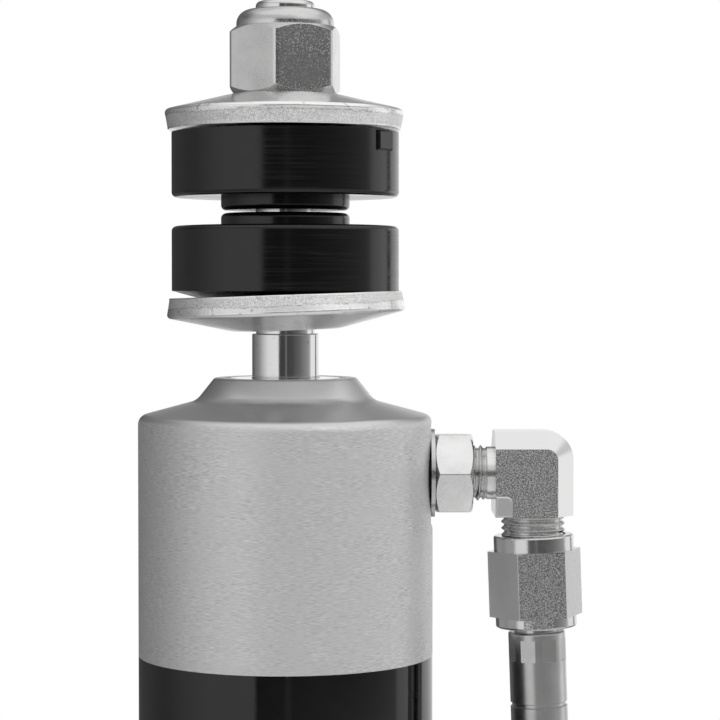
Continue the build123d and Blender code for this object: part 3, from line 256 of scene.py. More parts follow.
@dataclass(frozen=True)
class PlatedSteel(Recipe):
    """Bright zinc plate over machined or forged steel, with a fine crystalline grain."""

    name: str = "zinc_plate"
    tone: Triple = (0.70, 0.70, 0.695)
    roughness: float = 0.17
    grain: float = 0.010 * MM
    grain_size: float = 0.30 * MM
    stain: float = 0.16
    stain_ramp: Ramp = (0.35, 0.62, 0, 1)
    speck: float = 0.15
    speck_size: float = 0.38 * MM
    speck_ramp: Ramp = (0.50, 0.64, 0, 1)
    sparse_ramp: Ramp = (0.46, 0.62, 1, 0.3)
    patch_size: float = 9 * MM

    def apply(self, paint: Paint) -> None:
        """Tone and roughness wander slowly; a fine grain breaks up the reflections and small dull
        specks gather in patches."""
        where = paint.place()
        grain = paint.noise(where, self.grain_size, 2.0)
        patches = paint.noise(where, self.patch_size, 4.0)
        specks = paint.ramp(paint.noise(where, self.speck_size, 4.0), *self.speck_ramp)
        specks = specks * paint.ramp(patches, *self.sparse_ramp)
        stained = paint.ramp(patches, *self.stain_ramp)
        paint.surface({
            "Base Color": paint.colour(stained, shaded(self.tone, 1 - self.stain), self.tone),
            "Metallic": 1.0 - specks * self.speck,
            "Roughness": self.roughness + specks * self.speck,
            "Normal": paint.bump(grain, self.grain),
        })


@dataclass(frozen=True)
class ShearedPlate(PlatedSteel):
    """Plate of the pressed washers; their sheared rims are grainy, with painted shade in the pits.
    """

    name: str = "washer_plate"
    tone: Triple = (0.92, 0.92, 0.915)
    roughness: float = 0.18
    rough_gain: float = 1.4
    rough_span: Span = (0.3, 0.7)
    patch_size: float = 7 * MM
    pit_size: float = 0.24 * MM
    pit_shade_ramp: Ramp = (0.40, 0.58, 1, 0.05)
    pit_shade_tone: float = 0.14
    spot_size: float = 1.4 * MM
    spot_ramp: Ramp = (0.60, 0.70, 0, 0.4)
    metallic: float = 0.9
    dulling: float = 0.6
    relief: float = 0.06 * MM
    smooth_relief: float = 0.25

    def apply(self, paint: Paint) -> None:
        """The mesh's torn attribute is 1 on the tear's lip and about a half over the grains below
        it, where painted shade darkens the plate in its pits. Its dull attribute marks all that
        lies below the lip."""
        where = paint.place()
        torn = paint.node("ShaderNodeAttribute", {"attribute_name": "torn"}, output="Fac")
        dull = paint.node("ShaderNodeAttribute", {"attribute_name": "dull"}, output="Fac")
        pits = paint.noise(where, self.pit_size, 2.0)
        patches = paint.noise(where, self.patch_size, 4.0)
        spots = paint.ramp(paint.noise(where, self.spot_size, 4.0), *self.spot_ramp)
        # Painted shade: in the pits of the torn rim the colour goes towards the dark pit tone,
        # fully along the tear's lip and about half over the broken grains.
        shade = torn * paint.ramp(pits, *self.pit_shade_ramp)
        dark = shaded(self.tone, self.pit_shade_tone)
        dullest = self.roughness * self.rough_gain
        paint.surface({
            "Base Color": paint.colour(1 - shade - spots * (1 - torn), dark, self.tone),
            "Metallic": self.metallic - dull * self.dulling,
            "Roughness": paint.ramp(patches, *self.rough_span, dullest, self.roughness),
            "Normal": paint.bump(pits * (self.smooth_relief + dull), self.relief),
        })


@dataclass(frozen=True)
class ForgedSteel(PlatedSteel):
    """Plated steel whose flat sides across Y keep their coarse forged or rolled skin, with painted
    shade in its pits.
    """

    name: str = "forged_plate"
    facing: float = 0.93
    beyond: float = 0.0
    within: float = 1.0
    below: float = 1.0
    dark: float = 0.42
    pit: float = 0.11 * MM
    pit_size: float = 0.26 * MM
    pit_shade_ramp: Ramp = (0.42, 0.56, 0, 1)
    skin_roughness: float = 0.10
    proud_roughness: float = 0.30

    def apply(self, paint: Paint) -> None:
        """The skin's pits show only where the surface faces along Y, lies between two distances
        from the middle plane and is below a height; there they are relief, and their colour is
        darkened as painted shade. What stands out farther is dull."""
        where = paint.place()
        normal = paint.node("ShaderNodeTexCoord", output="Normal")
        turned = paint.part(normal, "Y")
        across = paint.part(where, "Y")
        height = paint.part(where, "Z")
        inside = self.within - abs(across) > 0.0
        proud = 1 - inside
        skin_and_pit_shade = (abs(turned) > self.facing) * inside * (abs(across) > self.beyond)
        skin_and_pit_shade = skin_and_pit_shade * (self.below - height > 0.0)
        pits = paint.noise(where, self.pit_size, 2.5)
        fine = paint.noise(where, self.grain_size, 2.0)
        relief = pits * skin_and_pit_shade * (self.pit / self.grain) + fine
        # Painted shade: where the skin's pits are deep its colour goes towards the dark share of
        # the tone.
        speck = paint.ramp(pits, *self.pit_shade_ramp)
        rough = self.roughness + skin_and_pit_shade * self.skin_roughness + proud * self.proud_roughness
        paint.surface({
            "Base Color": paint.colour(
                1 - skin_and_pit_shade * (1 - speck), shaded(self.tone, self.dark), self.tone
            ),
            "Metallic": 1.0,
            "Roughness": rough,
            "Normal": paint.bump(relief, self.grain),
        })


@dataclass(frozen=True)
class PolishedChrome(Recipe):
    """Hard chrome with faint wipe marks and a few dark specks."""

    name: str = "hard_chrome"
    tone: Triple = (0.74, 0.74, 0.745)
    roughness: float = 0.07
    speck_size: float = 1.1 * MM
    speck_ramp: Ramp = (0.24, 0.34, 0, 1)
    speck_tone: float = 0.45
    wipe_size: float = 1.6 * MM
    wipe_stretch: float = 0.12
    wipe_span: Span = (0.35, 0.7)
    wipe_gain: float = 2.6

    def apply(self, paint: Paint) -> None:
        """Specks darken the metal where a coarse noise is low; the finish is near a mirror."""
        specks = paint.noise(paint.place(), self.speck_size)
        wipe = paint.noise(paint.place((1.0, 1.0, self.wipe_stretch)), self.wipe_size)
        clean = paint.ramp(specks, *self.speck_ramp)
        wiped = self.roughness * self.wipe_gain
        paint.surface({
            "Base Color": paint.colour(clean, shaded(self.tone, self.speck_tone), self.tone),
            "Metallic": 1.0,
            "Roughness": paint.ramp(wipe, *self.wipe_span, self.roughness, wiped),
        })


@dataclass(frozen=True)
class BrushedAluminium(Recipe):
    """Clear anodised aluminium brushed around its axis, with smooth turned ends."""

    name: str = "brushed_aluminium"
    tone: Triple = (0.66, 0.66, 0.665)
    dark: float = 0.74
    light: float = 1.22
    roughness: float = 0.40
    end_polish: float = 0.16
    band_roughness: float = 0.12
    side_roughness: float = 0.12
    metallic: float = 0.45
    end_metallic: float = 0.85
    scratch_length: float = 1.5 * MM
    scratch_width: float = 0.13 * MM
    scratch_ramp: Ramp = (0.28, 0.72, 0, 1)
    depth: float = 0.009 * MM
    band_size: float = 2.4 * MM
    band_stretch: float = 0.15
    patch_size: float = 5 * MM
    patch_stretch: float = 0.5
    patch_ramp: Ramp = (0.38, 0.60, 0.45, 1.0)
    side_top: float = -1.0
    side_fade: float = 0.6 * MM

    def apply(self, paint: Paint) -> None:
        """Noise stretched around the axis is the brushing; above side_top it fades to smooth."""
        stretch = self.scratch_width / self.scratch_length
        where = paint.place((stretch, stretch, 1.0))
        height = paint.part(paint.place(), "Z")
        scratches = paint.noise(where, self.scratch_width, 2.0)
        bands = paint.noise(
            paint.place((self.band_stretch, self.band_stretch, 1.0)), self.band_size
        )
        patches = paint.noise(
            paint.place((self.patch_stretch, self.patch_stretch, 1.0)), self.patch_size
        )
        brushed = paint.ramp(height, self.side_top, self.side_top + self.side_fade, 1, 0)
        strength = brushed * paint.ramp(patches, *self.patch_ramp)
        shade = 0.5 + (paint.ramp(scratches, *self.scratch_ramp) - 0.5) * strength
        dark, light = (shaded(self.tone, factor) for factor in (self.dark, self.light))
        smooth = self.roughness - self.end_polish
        paint.surface({
            "Base Color": paint.colour(shade, dark, light),
            "Metallic": self.end_metallic - brushed * (self.end_metallic - self.metallic),
            "Roughness": smooth + bands * self.band_roughness + brushed * self.side_roughness,
            "Normal": paint.bump(scratches * brushed, self.depth),
        })


@dataclass(frozen=True)
class GlossCoat(Recipe):
    """Gloss or satin coat, almost flat, with a trace of orange peel."""

    name: str
    tone: Triple
    roughness: float
    peel: float = 0.004 * MM
    peel_size: float = 2.2 * MM
    dust_size: float = 14 * MM
    dust_ramp: Ramp = (0.45, 0.75, 0, 1)
    dust_gain: float = 1.7
    dust_lift: float = 0.002
    rough_span: Span = (0.3, 0.8)
    rough_gain: float = 1.6
    rough_lift: float = 0.02

    def apply(self, paint: Paint) -> None:
        """A slow, shallow noise bends the reflections a little."""
        where = paint.place()
        peel = paint.noise(where, self.peel_size, 1.0)
        dust = paint.noise(where, self.dust_size, 4.0)
        worn = shaded(self.tone, self.dust_gain, self.dust_lift)
        dullest = self.roughness * self.rough_gain + self.rough_lift
        paint.surface({
            "Base Color": paint.colour(paint.ramp(dust, *self.dust_ramp), self.tone, worn),
            "Roughness": paint.ramp(dust, *self.rough_span, self.roughness, dullest),
            "Normal": paint.bump(peel, self.peel),
        })


@dataclass(frozen=True)
class CastUrethane(Recipe):
    """Black cast urethane, semi-gloss, with fine turning lines around the axis."""

    name: str
    tone: Triple = (0.0030, 0.0030, 0.0032)
    worn: float = 3.6
    roughness: float = 0.13
    rough_span: Span = (0.3, 0.7)
    rough_gain: float = 1.7
    line: float = 0.008 * MM
    line_pitch: float = 0.34 * MM
    line_stretch: float = 0.02
    line_ramp: Ramp = (0.50, 0.66, 0, 1)
    patch_size: float = 7 * MM
    patch_ramp: Ramp = (0.4, 0.65, 0.15, 1.0)

    def apply(self, paint: Paint) -> None:
        """Noise that hardly changes around the axis makes the lines; a slow one makes them
        patchy."""
        stretched = paint.place((self.line_stretch, self.line_stretch, 1.0))
        lines = paint.noise(stretched, self.line_pitch)
        share = paint.ramp(paint.noise(paint.place(), self.patch_size), *self.patch_ramp)
        drawn = share * paint.ramp(lines, *self.line_ramp)
        dullest = self.roughness * self.rough_gain
        paint.surface({
            "Base Color": paint.colour(drawn, self.tone, shaded(self.tone, self.worn)),
            "Roughness": paint.ramp(lines, *self.rough_span, self.roughness, dullest),
            "Normal": paint.bump(lines * share, self.line),
        })


@dataclass(frozen=True)
class PlainStock(Recipe):
    """Any plain stock of a hidden or small piece: rubber, plastic, bronze, spring steel."""

    name: str
    tone: Triple
    roughness: float
    metallic: float = 0.0
    texture: float = 0.006 * MM
    texture_size: float = 0.5 * MM
    slow_size: float = 6 * MM
    slow_ramp: Ramp = (0.35, 0.65, 0, 1)
    dark: float = 0.78
    rough_span: Span = (0.3, 0.7)
    rough_factors: Span = (0.85, 1.1)

    def apply(self, paint: Paint) -> None:
        """A fine texture and a slow change of tone."""
        where = paint.place()
        fine = paint.noise(where, self.texture_size, 2.0)
        slow = paint.ramp(paint.noise(where, self.slow_size), *self.slow_ramp)
        low, high = (self.roughness * factor for factor in self.rough_factors)
        paint.surface({
            "Base Color": paint.colour(slow, shaded(self.tone, self.dark), self.tone),
            "Metallic": self.metallic,
            "Roughness": paint.ramp(fine, *self.rough_span, low, high),
            "Normal": paint.bump(fine, self.texture),
        })


class Finish(Enum):
    """The record's material slots and the finish of each."""

    ZINC = ("zinc_steel", PlatedSteel())
    WASHER = ("washer_zinc", ShearedPlate())
    CHROME = ("chrome", PolishedChrome())
    ALUMINIUM = ("brushed_aluminium", BrushedAluminium())
    TUBE = ("gloss_black", GlossCoat("gloss_black_coat", (0.0016, 0.0016, 0.0017), 0.03))
    CLAMP = ("clamp_black", GlossCoat("satin_black_anodise", (0.012, 0.012, 0.0125), 0.30))
    BUSHING = ("bushing_urethane", CastUrethane("black_urethane"))
    SEAL = ("seal_rubber", PlainStock("nitrile", (0.012, 0.012, 0.012), 0.5))
    BRAID = ("hose_braid", PlainStock("stainless_braid", (0.50, 0.50, 0.49), 0.24, 1.0))
    NYLON = ("nylon", PlainStock("natural_nylon", (0.72, 0.72, 0.68), 0.45))
    BAND = ("band_plastic", PlainStock("sliding_band", (0.17, 0.09, 0.045), 0.55))
    CAP = ("cap_plastic", PlainStock("dust_cap_plastic", (0.016, 0.016, 0.017), 0.42))
    SPRING = ("spring_steel", PlainStock("spring_steel", (0.36, 0.36, 0.37), 0.28, 1.0))
    PISTON = ("piston_steel", PlainStock("machined_steel", (0.45, 0.45, 0.46), 0.3, 1.0))
    BRASS = ("valve_brass", PlainStock("valve_brass", (0.62, 0.48, 0.24), 0.25, 1.0))
    BRONZE = ("bush_bronze", PlainStock("sintered_bronze", (0.40, 0.26, 0.13), 0.42, 1.0))

    @property
    def slot(self) -> str:
        """The record's name of the slot."""
        return self.value[0]

    @property
    def recipe(self) -> Recipe:
        """The finish that builds the slot's material."""
        return self.value[1]


class FinishShop:
    """Builds each finish once and hands it out."""

    def __init__(self) -> None:
        """Starts with nothing built."""
        self.built: dict[str, bpy.types.Material] = {}

    def get(self, recipe: Recipe) -> bpy.types.Material:
        """The material of a finish, built at the first call."""
        if recipe.name not in self.built:
            self.built[recipe.name] = recipe.build()
        return self.built[recipe.name]

    def coat(self, piece: bpy.types.Object, recipe: Recipe) -> None:
        """Gives a piece one finish all over."""
        piece.data.materials.clear()
        piece.data.materials.append(self.get(recipe))


def surface_piece(
    name: str, points: np.ndarray, wrap_u: bool, wrap_v: bool, weld: bool = False
) -> bpy.types.Object:
    """Makes a mesh from a grid of points: each grid cell becomes one face.

    Args:
        name: Name of the piece.
        points: Array of shape (u, v, 3), in metres, whose cells turn outwards.
        wrap_u: Whether the last row joins the first.
        wrap_v: Whether the last column joins the first.
        weld: Whether points at one place are merged, which closes poles.

    Returns:
        The mesh object, at the origin.
    """
    rows, columns = points.shape[:2]
    across = np.arange(rows if wrap_u else rows - 1)
    along = np.arange(columns if wrap_v else columns - 1)
    u, v = np.meshgrid(across, along, indexing="ij")
    next_u, next_v = (u + 1) % rows, (v + 1) % columns
    row, next_row = u * columns, next_u * columns
    corners = (row + v, next_row + v, next_row + next_v, row + next_v)
    faces = np.stack([corner.ravel() for corner in corners], axis=1)
    mesh = bpy.data.meshes.new(name)
    mesh.from_pydata(points.reshape(-1, 3), [], faces)
    if weld:
        shell = bmesh.new()
        shell.from_mesh(mesh)
        bmesh.ops.remove_doubles(shell, verts=shell.verts, dist=WELD)
        shell.to_mesh(mesh)
        shell.free()
    mesh.polygons.foreach_set("use_smooth", np.full(len(mesh.polygons), True))
    mesh.update()
    piece = bpy.data.objects.new(name, mesh)
    bpy.context.scene.collection.objects.link(piece)
    return piece


def around_axis(radius: np.ndarray, height: np.ndarray, turns: int) -> np.ndarray:
    """Carries a profile around Z: a point is (r cos a, r sin a, h). Radii and heights have the
    shape (profile,) or (turns, profile), the points (turns, profile, 3)."""
    angle = np.linspace(0, TURN, turns, endpoint=False)[:, None]
    r = np.broadcast_to(radius, (turns, np.shape(radius)[-1]))
    h = np.broadcast_to(height, r.shape)
    return np.stack([r * np.cos(angle), r * np.sin(angle), h], axis=-1)


def lean(points: np.ndarray, angle: float, at: Triple) -> np.ndarray:
    """Turns points drawn around Z by an angle about Y, where a positive one moves what is below
    towards -X, and moves them to a place."""
    c, s = math.cos(angle), math.sin(angle)
    turn = np.array([[c, 0, s], [0, 1, 0], [-s, 0, c]])
    return points @ turn.T + np.asarray(at)


def middle(node: str) -> np.ndarray:
    """The centre of a CAD node's box."""
    low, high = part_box(node)
    return (np.array(low) + np.array(high)) / 2


class Heading(Enum):
    """Which way an open thread runs from its start."""

    DOWN = "down"
    UP = "up"
    ALONG_X = "along X"


@dataclass
class OpenThread:
    """The stretch of a thread that shows between two pieces, over its undercut."""

    name: str
    at: Triple
    outer: float
    depth: float
    pitch: float
    length: float
    heading: Heading = Heading.DOWN
    tilt: float = 0.0
    slot: Finish = Finish.ZINC
    turns: int = 120
    steps_per_pitch: int = 22
    least_steps: int = 24
    crest_share: float = 0.12
    flank_share: float = 0.76
    fade_pitches: float = 0.45
    closing: float = 0.9

    def points(self) -> np.ndarray:
        """The thread's skin. Its radius at angle a and height h is the outer radius less the depth
        times a flat-topped triangle wave of h / pitch - a / turn; it fades into the undercut at
        both ends.

        Returns:
            Points of shape (turns, profile, 3), in metres.
        """
        steps = max(self.least_steps, int(self.length / self.pitch * self.steps_per_pitch))
        angle = np.linspace(0, TURN, self.turns, endpoint=False)[:, None]
        height = np.linspace(0, self.length, steps)[None, :]
        phase = (height / self.pitch - angle / TURN) % 1.0
        flank = np.abs(2 * phase - 1)
        groove = np.clip((flank - self.crest_share) / self.flank_share, 0, 1)
        from_end = np.minimum(height, self.length - height)
        fade = np.clip(from_end / (self.fade_pitches * self.pitch), 0, 1)
        crest = self.outer / 2 - self.depth * (1 - fade * (1 - groove))
        first, last = crest[:, :1] * self.closing, crest[:, -1:] * self.closing
        radius = np.concatenate([first, crest, last], axis=1)
        heights = np.concatenate([height[:, :1], height, height[:, -1:]], axis=1)
        return around_axis(radius, np.broadcast_to(heights, radius.shape), self.turns)

    def build(self, shop: FinishShop) -> bpy.types.Object:
        """Places the thread and dresses it.

        Args:
            shop: Where finishes come from.

        Returns:
            The piece.
        """
        points = self.points()
        if self.heading is Heading.DOWN:
            points = points * np.array([1, 1, -1])
            points = lean(points, self.tilt, self.at)[:, ::-1]
        elif self.heading is Heading.UP:
            points = points + np.asarray(self.at)
        else:
            points = points[..., [2, 1, 0]][:, ::-1] + np.asarray(self.at)
        piece = surface_piece(self.name, points, True, True)
        shop.coat(piece, self.slot.recipe)
        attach(piece, BODY)
        return piece


@dataclass
class Hose:
    """Braided hose between the two ferrules."""

    route: tuple[Triple, ...] = (
        (0.054981, 0.0, -0.110431),
        (0.055749, 0.0, -0.132418),
        (0.0600, 0.0, -0.1470),
        (0.0653, 0.0, -0.1620),
        (0.0689, 0.0, -0.1780),
        (0.0683, 0.0, -0.1950),
        (0.0635, 0.0, -0.211009),
        (0.0635, 0.0, -0.233009),
    )
    diameter: float = 9.2 * MM
    carriers: int = 24
    plait: float = 7.5 * MM
    wire_height: float = 0.32 * MM
    wires: int = 4
    wire_share: float = 0.20
    ridge_power: float = 0.5
    spline_steps: int = 48
    spline_order: int = 3
    path_stride: int = 6
    steps_around: int = 144
    step_along: float = 0.28 * MM

    def spline(self) -> bpy.types.Object:
        """The hose's centreline, a smooth curve with the route as its control points.

        Returns:
            A curve object with no thickness.
        """
        curve = bpy.data.curves.new("hose_centreline", "CURVE")
        curve.dimensions = "3D"
        curve.resolution_u = self.spline_steps
        line = curve.splines.new("NURBS")
        line.points.add(len(self.route) - 1)
        for point, place in zip(line.points, self.route):
            point.co = (*place, 1.0)
        line.order_u = self.spline_order
        line.use_endpoint_u = True
        holder = bpy.data.objects.new("hose_centreline", curve)
        bpy.context.scene.collection.objects.link(holder)
        return holder

    def centreline(self) -> np.ndarray:
        """Points read from the spline, then spaced evenly by their distance along it.

        Returns:
            Points of shape (steps, 3).
        """
        holder = self.spline()
        bpy.context.view_layer.update()
        graph = bpy.context.evaluated_depsgraph_get()
        mesh = bpy.data.meshes.new_from_object(holder.evaluated_get(graph))
        raw = np.empty(len(mesh.vertices) * 3)
        mesh.vertices.foreach_get("co", raw)
        raw = raw.reshape(-1, 3)
        bpy.data.objects.remove(holder)
        bpy.data.meshes.remove(mesh)
        gone = np.concatenate([[0], np.cumsum(np.linalg.norm(np.diff(raw, axis=0), axis=1))])
        even = np.linspace(0, gone[-1], int(gone[-1] / self.step_along))
        return np.stack([np.interp(even, gone, raw[:, axis]) for axis in range(3)], axis=1)

    def weave(self, angle: np.ndarray, along: np.ndarray) -> np.ndarray:
        """Height of the braid: two sets of flat wire bundles wind opposite ways. Each bundle is a
        rounded ridge, and at each crossing the phase sum says which set lies on top.

        Args:
            angle: Angle around the hose.
            along: Distance along the hose, in metres.

        Returns:
            Height between 0 and 1.
        """
        half = self.carriers / 2
        around, wound = half * (angle / TURN), along / self.plait * half / 2
        phases = (around + wound, around - wound)
        over = np.cos(math.pi * (np.floor(phases[0]) + np.floor(phases[1])))
        heights = []
        for phase in phases:
            ridge = np.abs(np.sin(math.pi * phase)) ** self.ridge_power
            wave = np.abs(np.sin(self.wires * math.pi * phase))
            heights.append(ridge * (1 - self.wire_share + self.wire_share * wave))
        return np.where(over > 0, *heights)

    def build(self, shop: FinishShop) -> bpy.types.Object:
        """Args:
            shop: Where finishes come from.

        Returns:
            The hose.
        """
        path = self.centreline()
        ahead = np.gradient(path, axis=0)
        ahead /= np.linalg.norm(ahead, axis=1, keepdims=True)
        side = np.array([0.0, 1.0, 0.0])
        other = np.cross(ahead, side)
        gone = np.arange(len(path)) * np.linalg.norm(path[1] - path[0])
        angle = np.linspace(0, TURN, self.steps_around, endpoint=False)
        a, g = np.meshgrid(angle, gone, indexing="ij")
        radius = self.diameter / 2 - self.wire_height * (1 - self.weave(a, g))
        ring = np.cos(a)[..., None] * side + np.sin(a)[..., None] * other[None, :, :]
        points = path[None, :, :] + radius[..., None] * ring
        centres = np.broadcast_to(path[None, :, :], points.shape)[:, [0, -1]]
        points = np.concatenate([centres[:, :1], points, centres[:, 1:]], axis=1)
        piece = surface_piece("reservoir_hose_braid", points[:, ::-1], True, False, weld=True)
        shop.coat(piece, Finish.BRAID.recipe)
        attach(piece, BODY)
        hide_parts("reservoir_hose")
        log.info("hose: %.1f mm long", gone[-1] / MM)
        return piece


def soft_noise(rows: int, columns: int, cell: Span, seed: int) -> np.ndarray:
    """Seamless noise between -1 and 1 on a grid: white noise whose waves shorter than a cell are
    damped by exp(-(2 x frequency x cell) squared).

    Args:
        rows: Grid size along the first side.
        columns: Grid size along the second side.
        cell: Size of a grain in grid steps, along both sides.
        seed: Seed of the white noise.

    Returns:
        An array of shape (rows, columns).
    """
    white = np.random.default_rng(seed).standard_normal((rows, columns))
    u = np.fft.fftfreq(rows)[:, None] * cell[0]
    v = np.fft.fftfreq(columns)[None, :] * cell[1]
    field = np.real(np.fft.ifft2(np.fft.fft2(white) * np.exp(-NOISE_DAMPING * (u * u + v * v))))
    return np.clip(field / (NOISE_LIMIT * field.std()), -1, 1)


# Grid columns and grain cell of a washer's noises: grains, wave, jag, streaks and dents.
WASHER_NOISES: tuple[tuple[int, Span], ...] = (
    (64, (1.25, 1.25)), (4, (60.0, 1.0)), (4, (2.5, 1.0)), (8, (2.5, 8.0)), (64, (30.0, 6.0)),
)


@dataclass
class PressedWasher:
    """Dished cup washer, pressed and sheared from plate, convex up before it is placed."""

    name: str
    node: str
    turn: float
    at: Triple
    flip: bool
    seed: int
    outer: float = 51.4 * MM
    under: float = 50.2 * MM
    hole: float = 13.2 * MM
    land: float = 23.0 * MM
    under_land: float = 21.0 * MM
    edge: float = 4.3 * MM
    angle: float = math.radians(13.5)
    roll: float = 0.9 * MM
    roll_rise: float = 0.15 * MM
    roll_inset: float = 0.02 * MM
    foot: float = 0.3 * MM
    foot_lift: float = 0.07 * MM
    land_blend: float = 1.2 * MM
    blend_rise: float = 0.22 * MM
    land_drop: float = 0.05 * MM
    fracture: float = 0.06 * MM
    shear_step: float = 0.03 * MM
    streak_depth: float = 0.02 * MM
    dent_depth: float = 0.03 * MM
    line: float = 0.56
    wave_share: float = 0.10
    jag_share: float = 0.04
    line_blur: float = 0.05
    end_blur: float = 0.08
    rim_end: float = 0.98
    lip_width: float = 0.045
    lip_share: float = 0.9
    lip_swing: float = 0.4
    torn_share: float = 0.5
    foot_steps: int = 5
    rim_steps: int = 26
    roll_steps: int = 8
    slope_steps: int = 10
    turns: int = 960

    def outline(self) -> tuple[np.ndarray, np.ndarray, np.ndarray]:
        """The washer's outline from the hole's lower edge round to its upper edge.

        Returns:
            Radii, heights and the place on the sheared rim, from 0 at its foot to 1 at its top
            and -1 elsewhere.
        """
        slope = math.tan(self.angle)
        drop = (self.outer - self.land) / 2 * slope
        under_drop = (self.under - self.under_land) / 2 * slope
        round_low = np.linspace(-math.pi / 2, 0, self.foot_steps)
        rim = np.linspace(0, 1, self.rim_steps)
        round_high = np.linspace(0, math.pi / 2 - self.angle, self.roll_steps)
        side_low, side_high = self.foot, self.edge - self.roll + self.roll_rise
        lower, upper = self.under / 2, self.outer / 2 - self.roll_inset
        foot_r = lower - self.foot
        crest_r = upper - self.roll + self.roll * np.cos(round_high)
        crest_z = side_high + self.roll * np.sin(round_high)
        top_z = self.edge + drop - self.land_drop
        slope_end = self.land / 2 + self.land_blend
        slope_r = np.linspace(crest_r[-1], slope_end, self.slope_steps)[1:]
        slope_z = crest_z[-1] + (crest_r[-1] - slope_r) * slope
        hole, land = self.hole / 2, self.land / 2
        below = [
            [hole, self.under_land / 2],
            np.linspace(self.under_land / 2, foot_r, self.slope_steps)[1:],
            foot_r + self.foot * np.cos(round_low)[1:],
        ]
        radius = np.concatenate(below + [
            lower + (upper - lower) * rim[1:], crest_r[1:], slope_r,
            [land, land - self.land_blend, hole + self.foot, hole],
        ])
        height = np.concatenate([
            [under_drop, under_drop],
            np.linspace(under_drop, self.foot_lift, self.slope_steps)[1:],
            self.foot + self.foot * np.sin(round_low)[1:],
            side_low + (side_high - side_low) * rim[1:], crest_z[1:], slope_z,
            [min(top_z, slope_z[-1] + self.blend_rise), top_z, top_z, top_z - self.foot],
        ])
        place = np.full(radius.shape, -1.0)
        start = sum(len(stretch) for stretch in below)
        place[start:start + len(rim) - 1] = rim[1:]
        return radius, height, place

    def build(self, shop: FinishShop) -> bpy.types.Object:
        """Revolves the outline and roughens its rim. Below a wavy line the rim is broken: it lies
        back by the shear step and carries coarse grains; above it, it is burnished and only
        faintly streaked. The torn attribute marks the broken part and the line, where the finish
        paints shade in the pits.

        Args:
            shop: Where finishes come from.

        Returns:
            The washer.
        """
        radius, height, place = self.outline()
        steps = len(radius)
        grains, wave, jag, streak, dents = (
            soft_noise(self.turns, columns, cell, self.seed + number)
            for number, (columns, cell) in enumerate(WASHER_NOISES)
        )
        wave, jag, streak = wave[:, :1], jag[:, :1], streak[:, :1]
        line = self.line + self.wave_share * wave + self.jag_share * jag
        on_rim = (place >= 0) & (place < self.rim_end)
        broken = np.clip((line - place[None, :]) / self.line_blur, 0, 1) * on_rim
        shade = np.clip(np.minimum(place, 1 - place) / self.end_blur, 0, 1)[None, :]
        depth = self.shear_step + self.fracture * (0.5 - 0.5 * grains[:, :steps])
        inward = broken * depth * shade
        inward = inward + self.streak_depth * (1 + streak) * (1 - broken) * on_rim * shade
        level = np.broadcast_to(height, (self.turns, steps))
        heights = level + self.dent_depth * dents[:, :steps]
        points = around_axis(radius - inward, heights, self.turns)
        if self.flip:
            points = points * np.array([1, -1, -1])
        points = lean(points, self.turn, self.at)
        piece = surface_piece(self.name, points, True, True)
        # The lip and torn values weight the finish's painted shade: strongest along the tear's
        # lip, about a half over the broken part below it.
        lip = np.exp(-(((place[None, :] - line) / self.lip_width) ** 2))
        lip = lip * (1 - self.lip_swing + self.lip_swing * jag) * on_rim
        torn = np.clip(self.torn_share * broken * shade + self.lip_share * lip, 0, 1)
        for layer_name, values in (("torn", torn), ("dull", broken)):
            layer = piece.data.attributes.new(layer_name, "FLOAT", "POINT")
            layer.data.foreach_set("value", values.ravel())
        shop.coat(piece, Finish.WASHER.recipe)
        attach(piece, BODY)
        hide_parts(self.node)
        return piece


@dataclass
class DustCap:
    """The gas valve's cap, with a knurled grip."""

    ribs: int = 28
    rib_depth: float = 0.28 * MM
    wall: float = 0.95 * MM
    crown: float = 1.2 * MM
    mouth_inset: float = 0.25 * MM
    mouth_height: float = 0.3 * MM
    collar_height: float = 1.4 * MM
    grip_end: float = 1.0 * MM
    grip_depth: float = 0.1 * MM
    steps_per_rib: int = 8
    crown_steps: int = 9

    def build(self, shop: FinishShop) -> bpy.types.Object:
        """Revolves the cap's outline; around the grip the radius swings with the cosine of the
        angle times the number of ribs.

        Args:
            shop: Where finishes come from.

        Returns:
            The cap.
        """
        low, high = (np.array(corner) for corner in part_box("valve_cap"))
        centre = (low + high) / 2
        outer = (high[0] - low[0]) / 2
        floor = low[2] + self.crown
        rounded = np.linspace(0, math.pi / 2, self.crown_steps)
        radius = np.concatenate([
            [0.0], outer - self.crown * (1 - np.sin(rounded)),
            [outer, outer, outer - self.mouth_inset],
            [outer - self.wall, outer - self.wall, 0.0],
        ])
        height = np.concatenate([
            [low[2]], low[2] + self.crown * (1 - np.cos(rounded)),
            [high[2] - self.collar_height, high[2] - self.mouth_height, high[2]],
            [high[2], floor, floor],
        ])
        turns = self.ribs * self.steps_per_rib
        angle = np.linspace(0, TURN, turns, endpoint=False)[:, None]
        grip = (radius > outer - self.grip_depth) & (height < high[2] - self.grip_end)
        swing = self.rib_depth * (0.5 - 0.5 * np.cos(self.ribs * angle)) * grip
        points = around_axis(radius - swing, height, turns) + np.array([*centre[:2], 0])
        piece = surface_piece("valve_dust_cap", points, True, False, weld=True)
        shop.coat(piece, Finish.CAP.recipe)
        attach(piece, "valve_cap")
        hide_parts("valve_cap")
        return piece


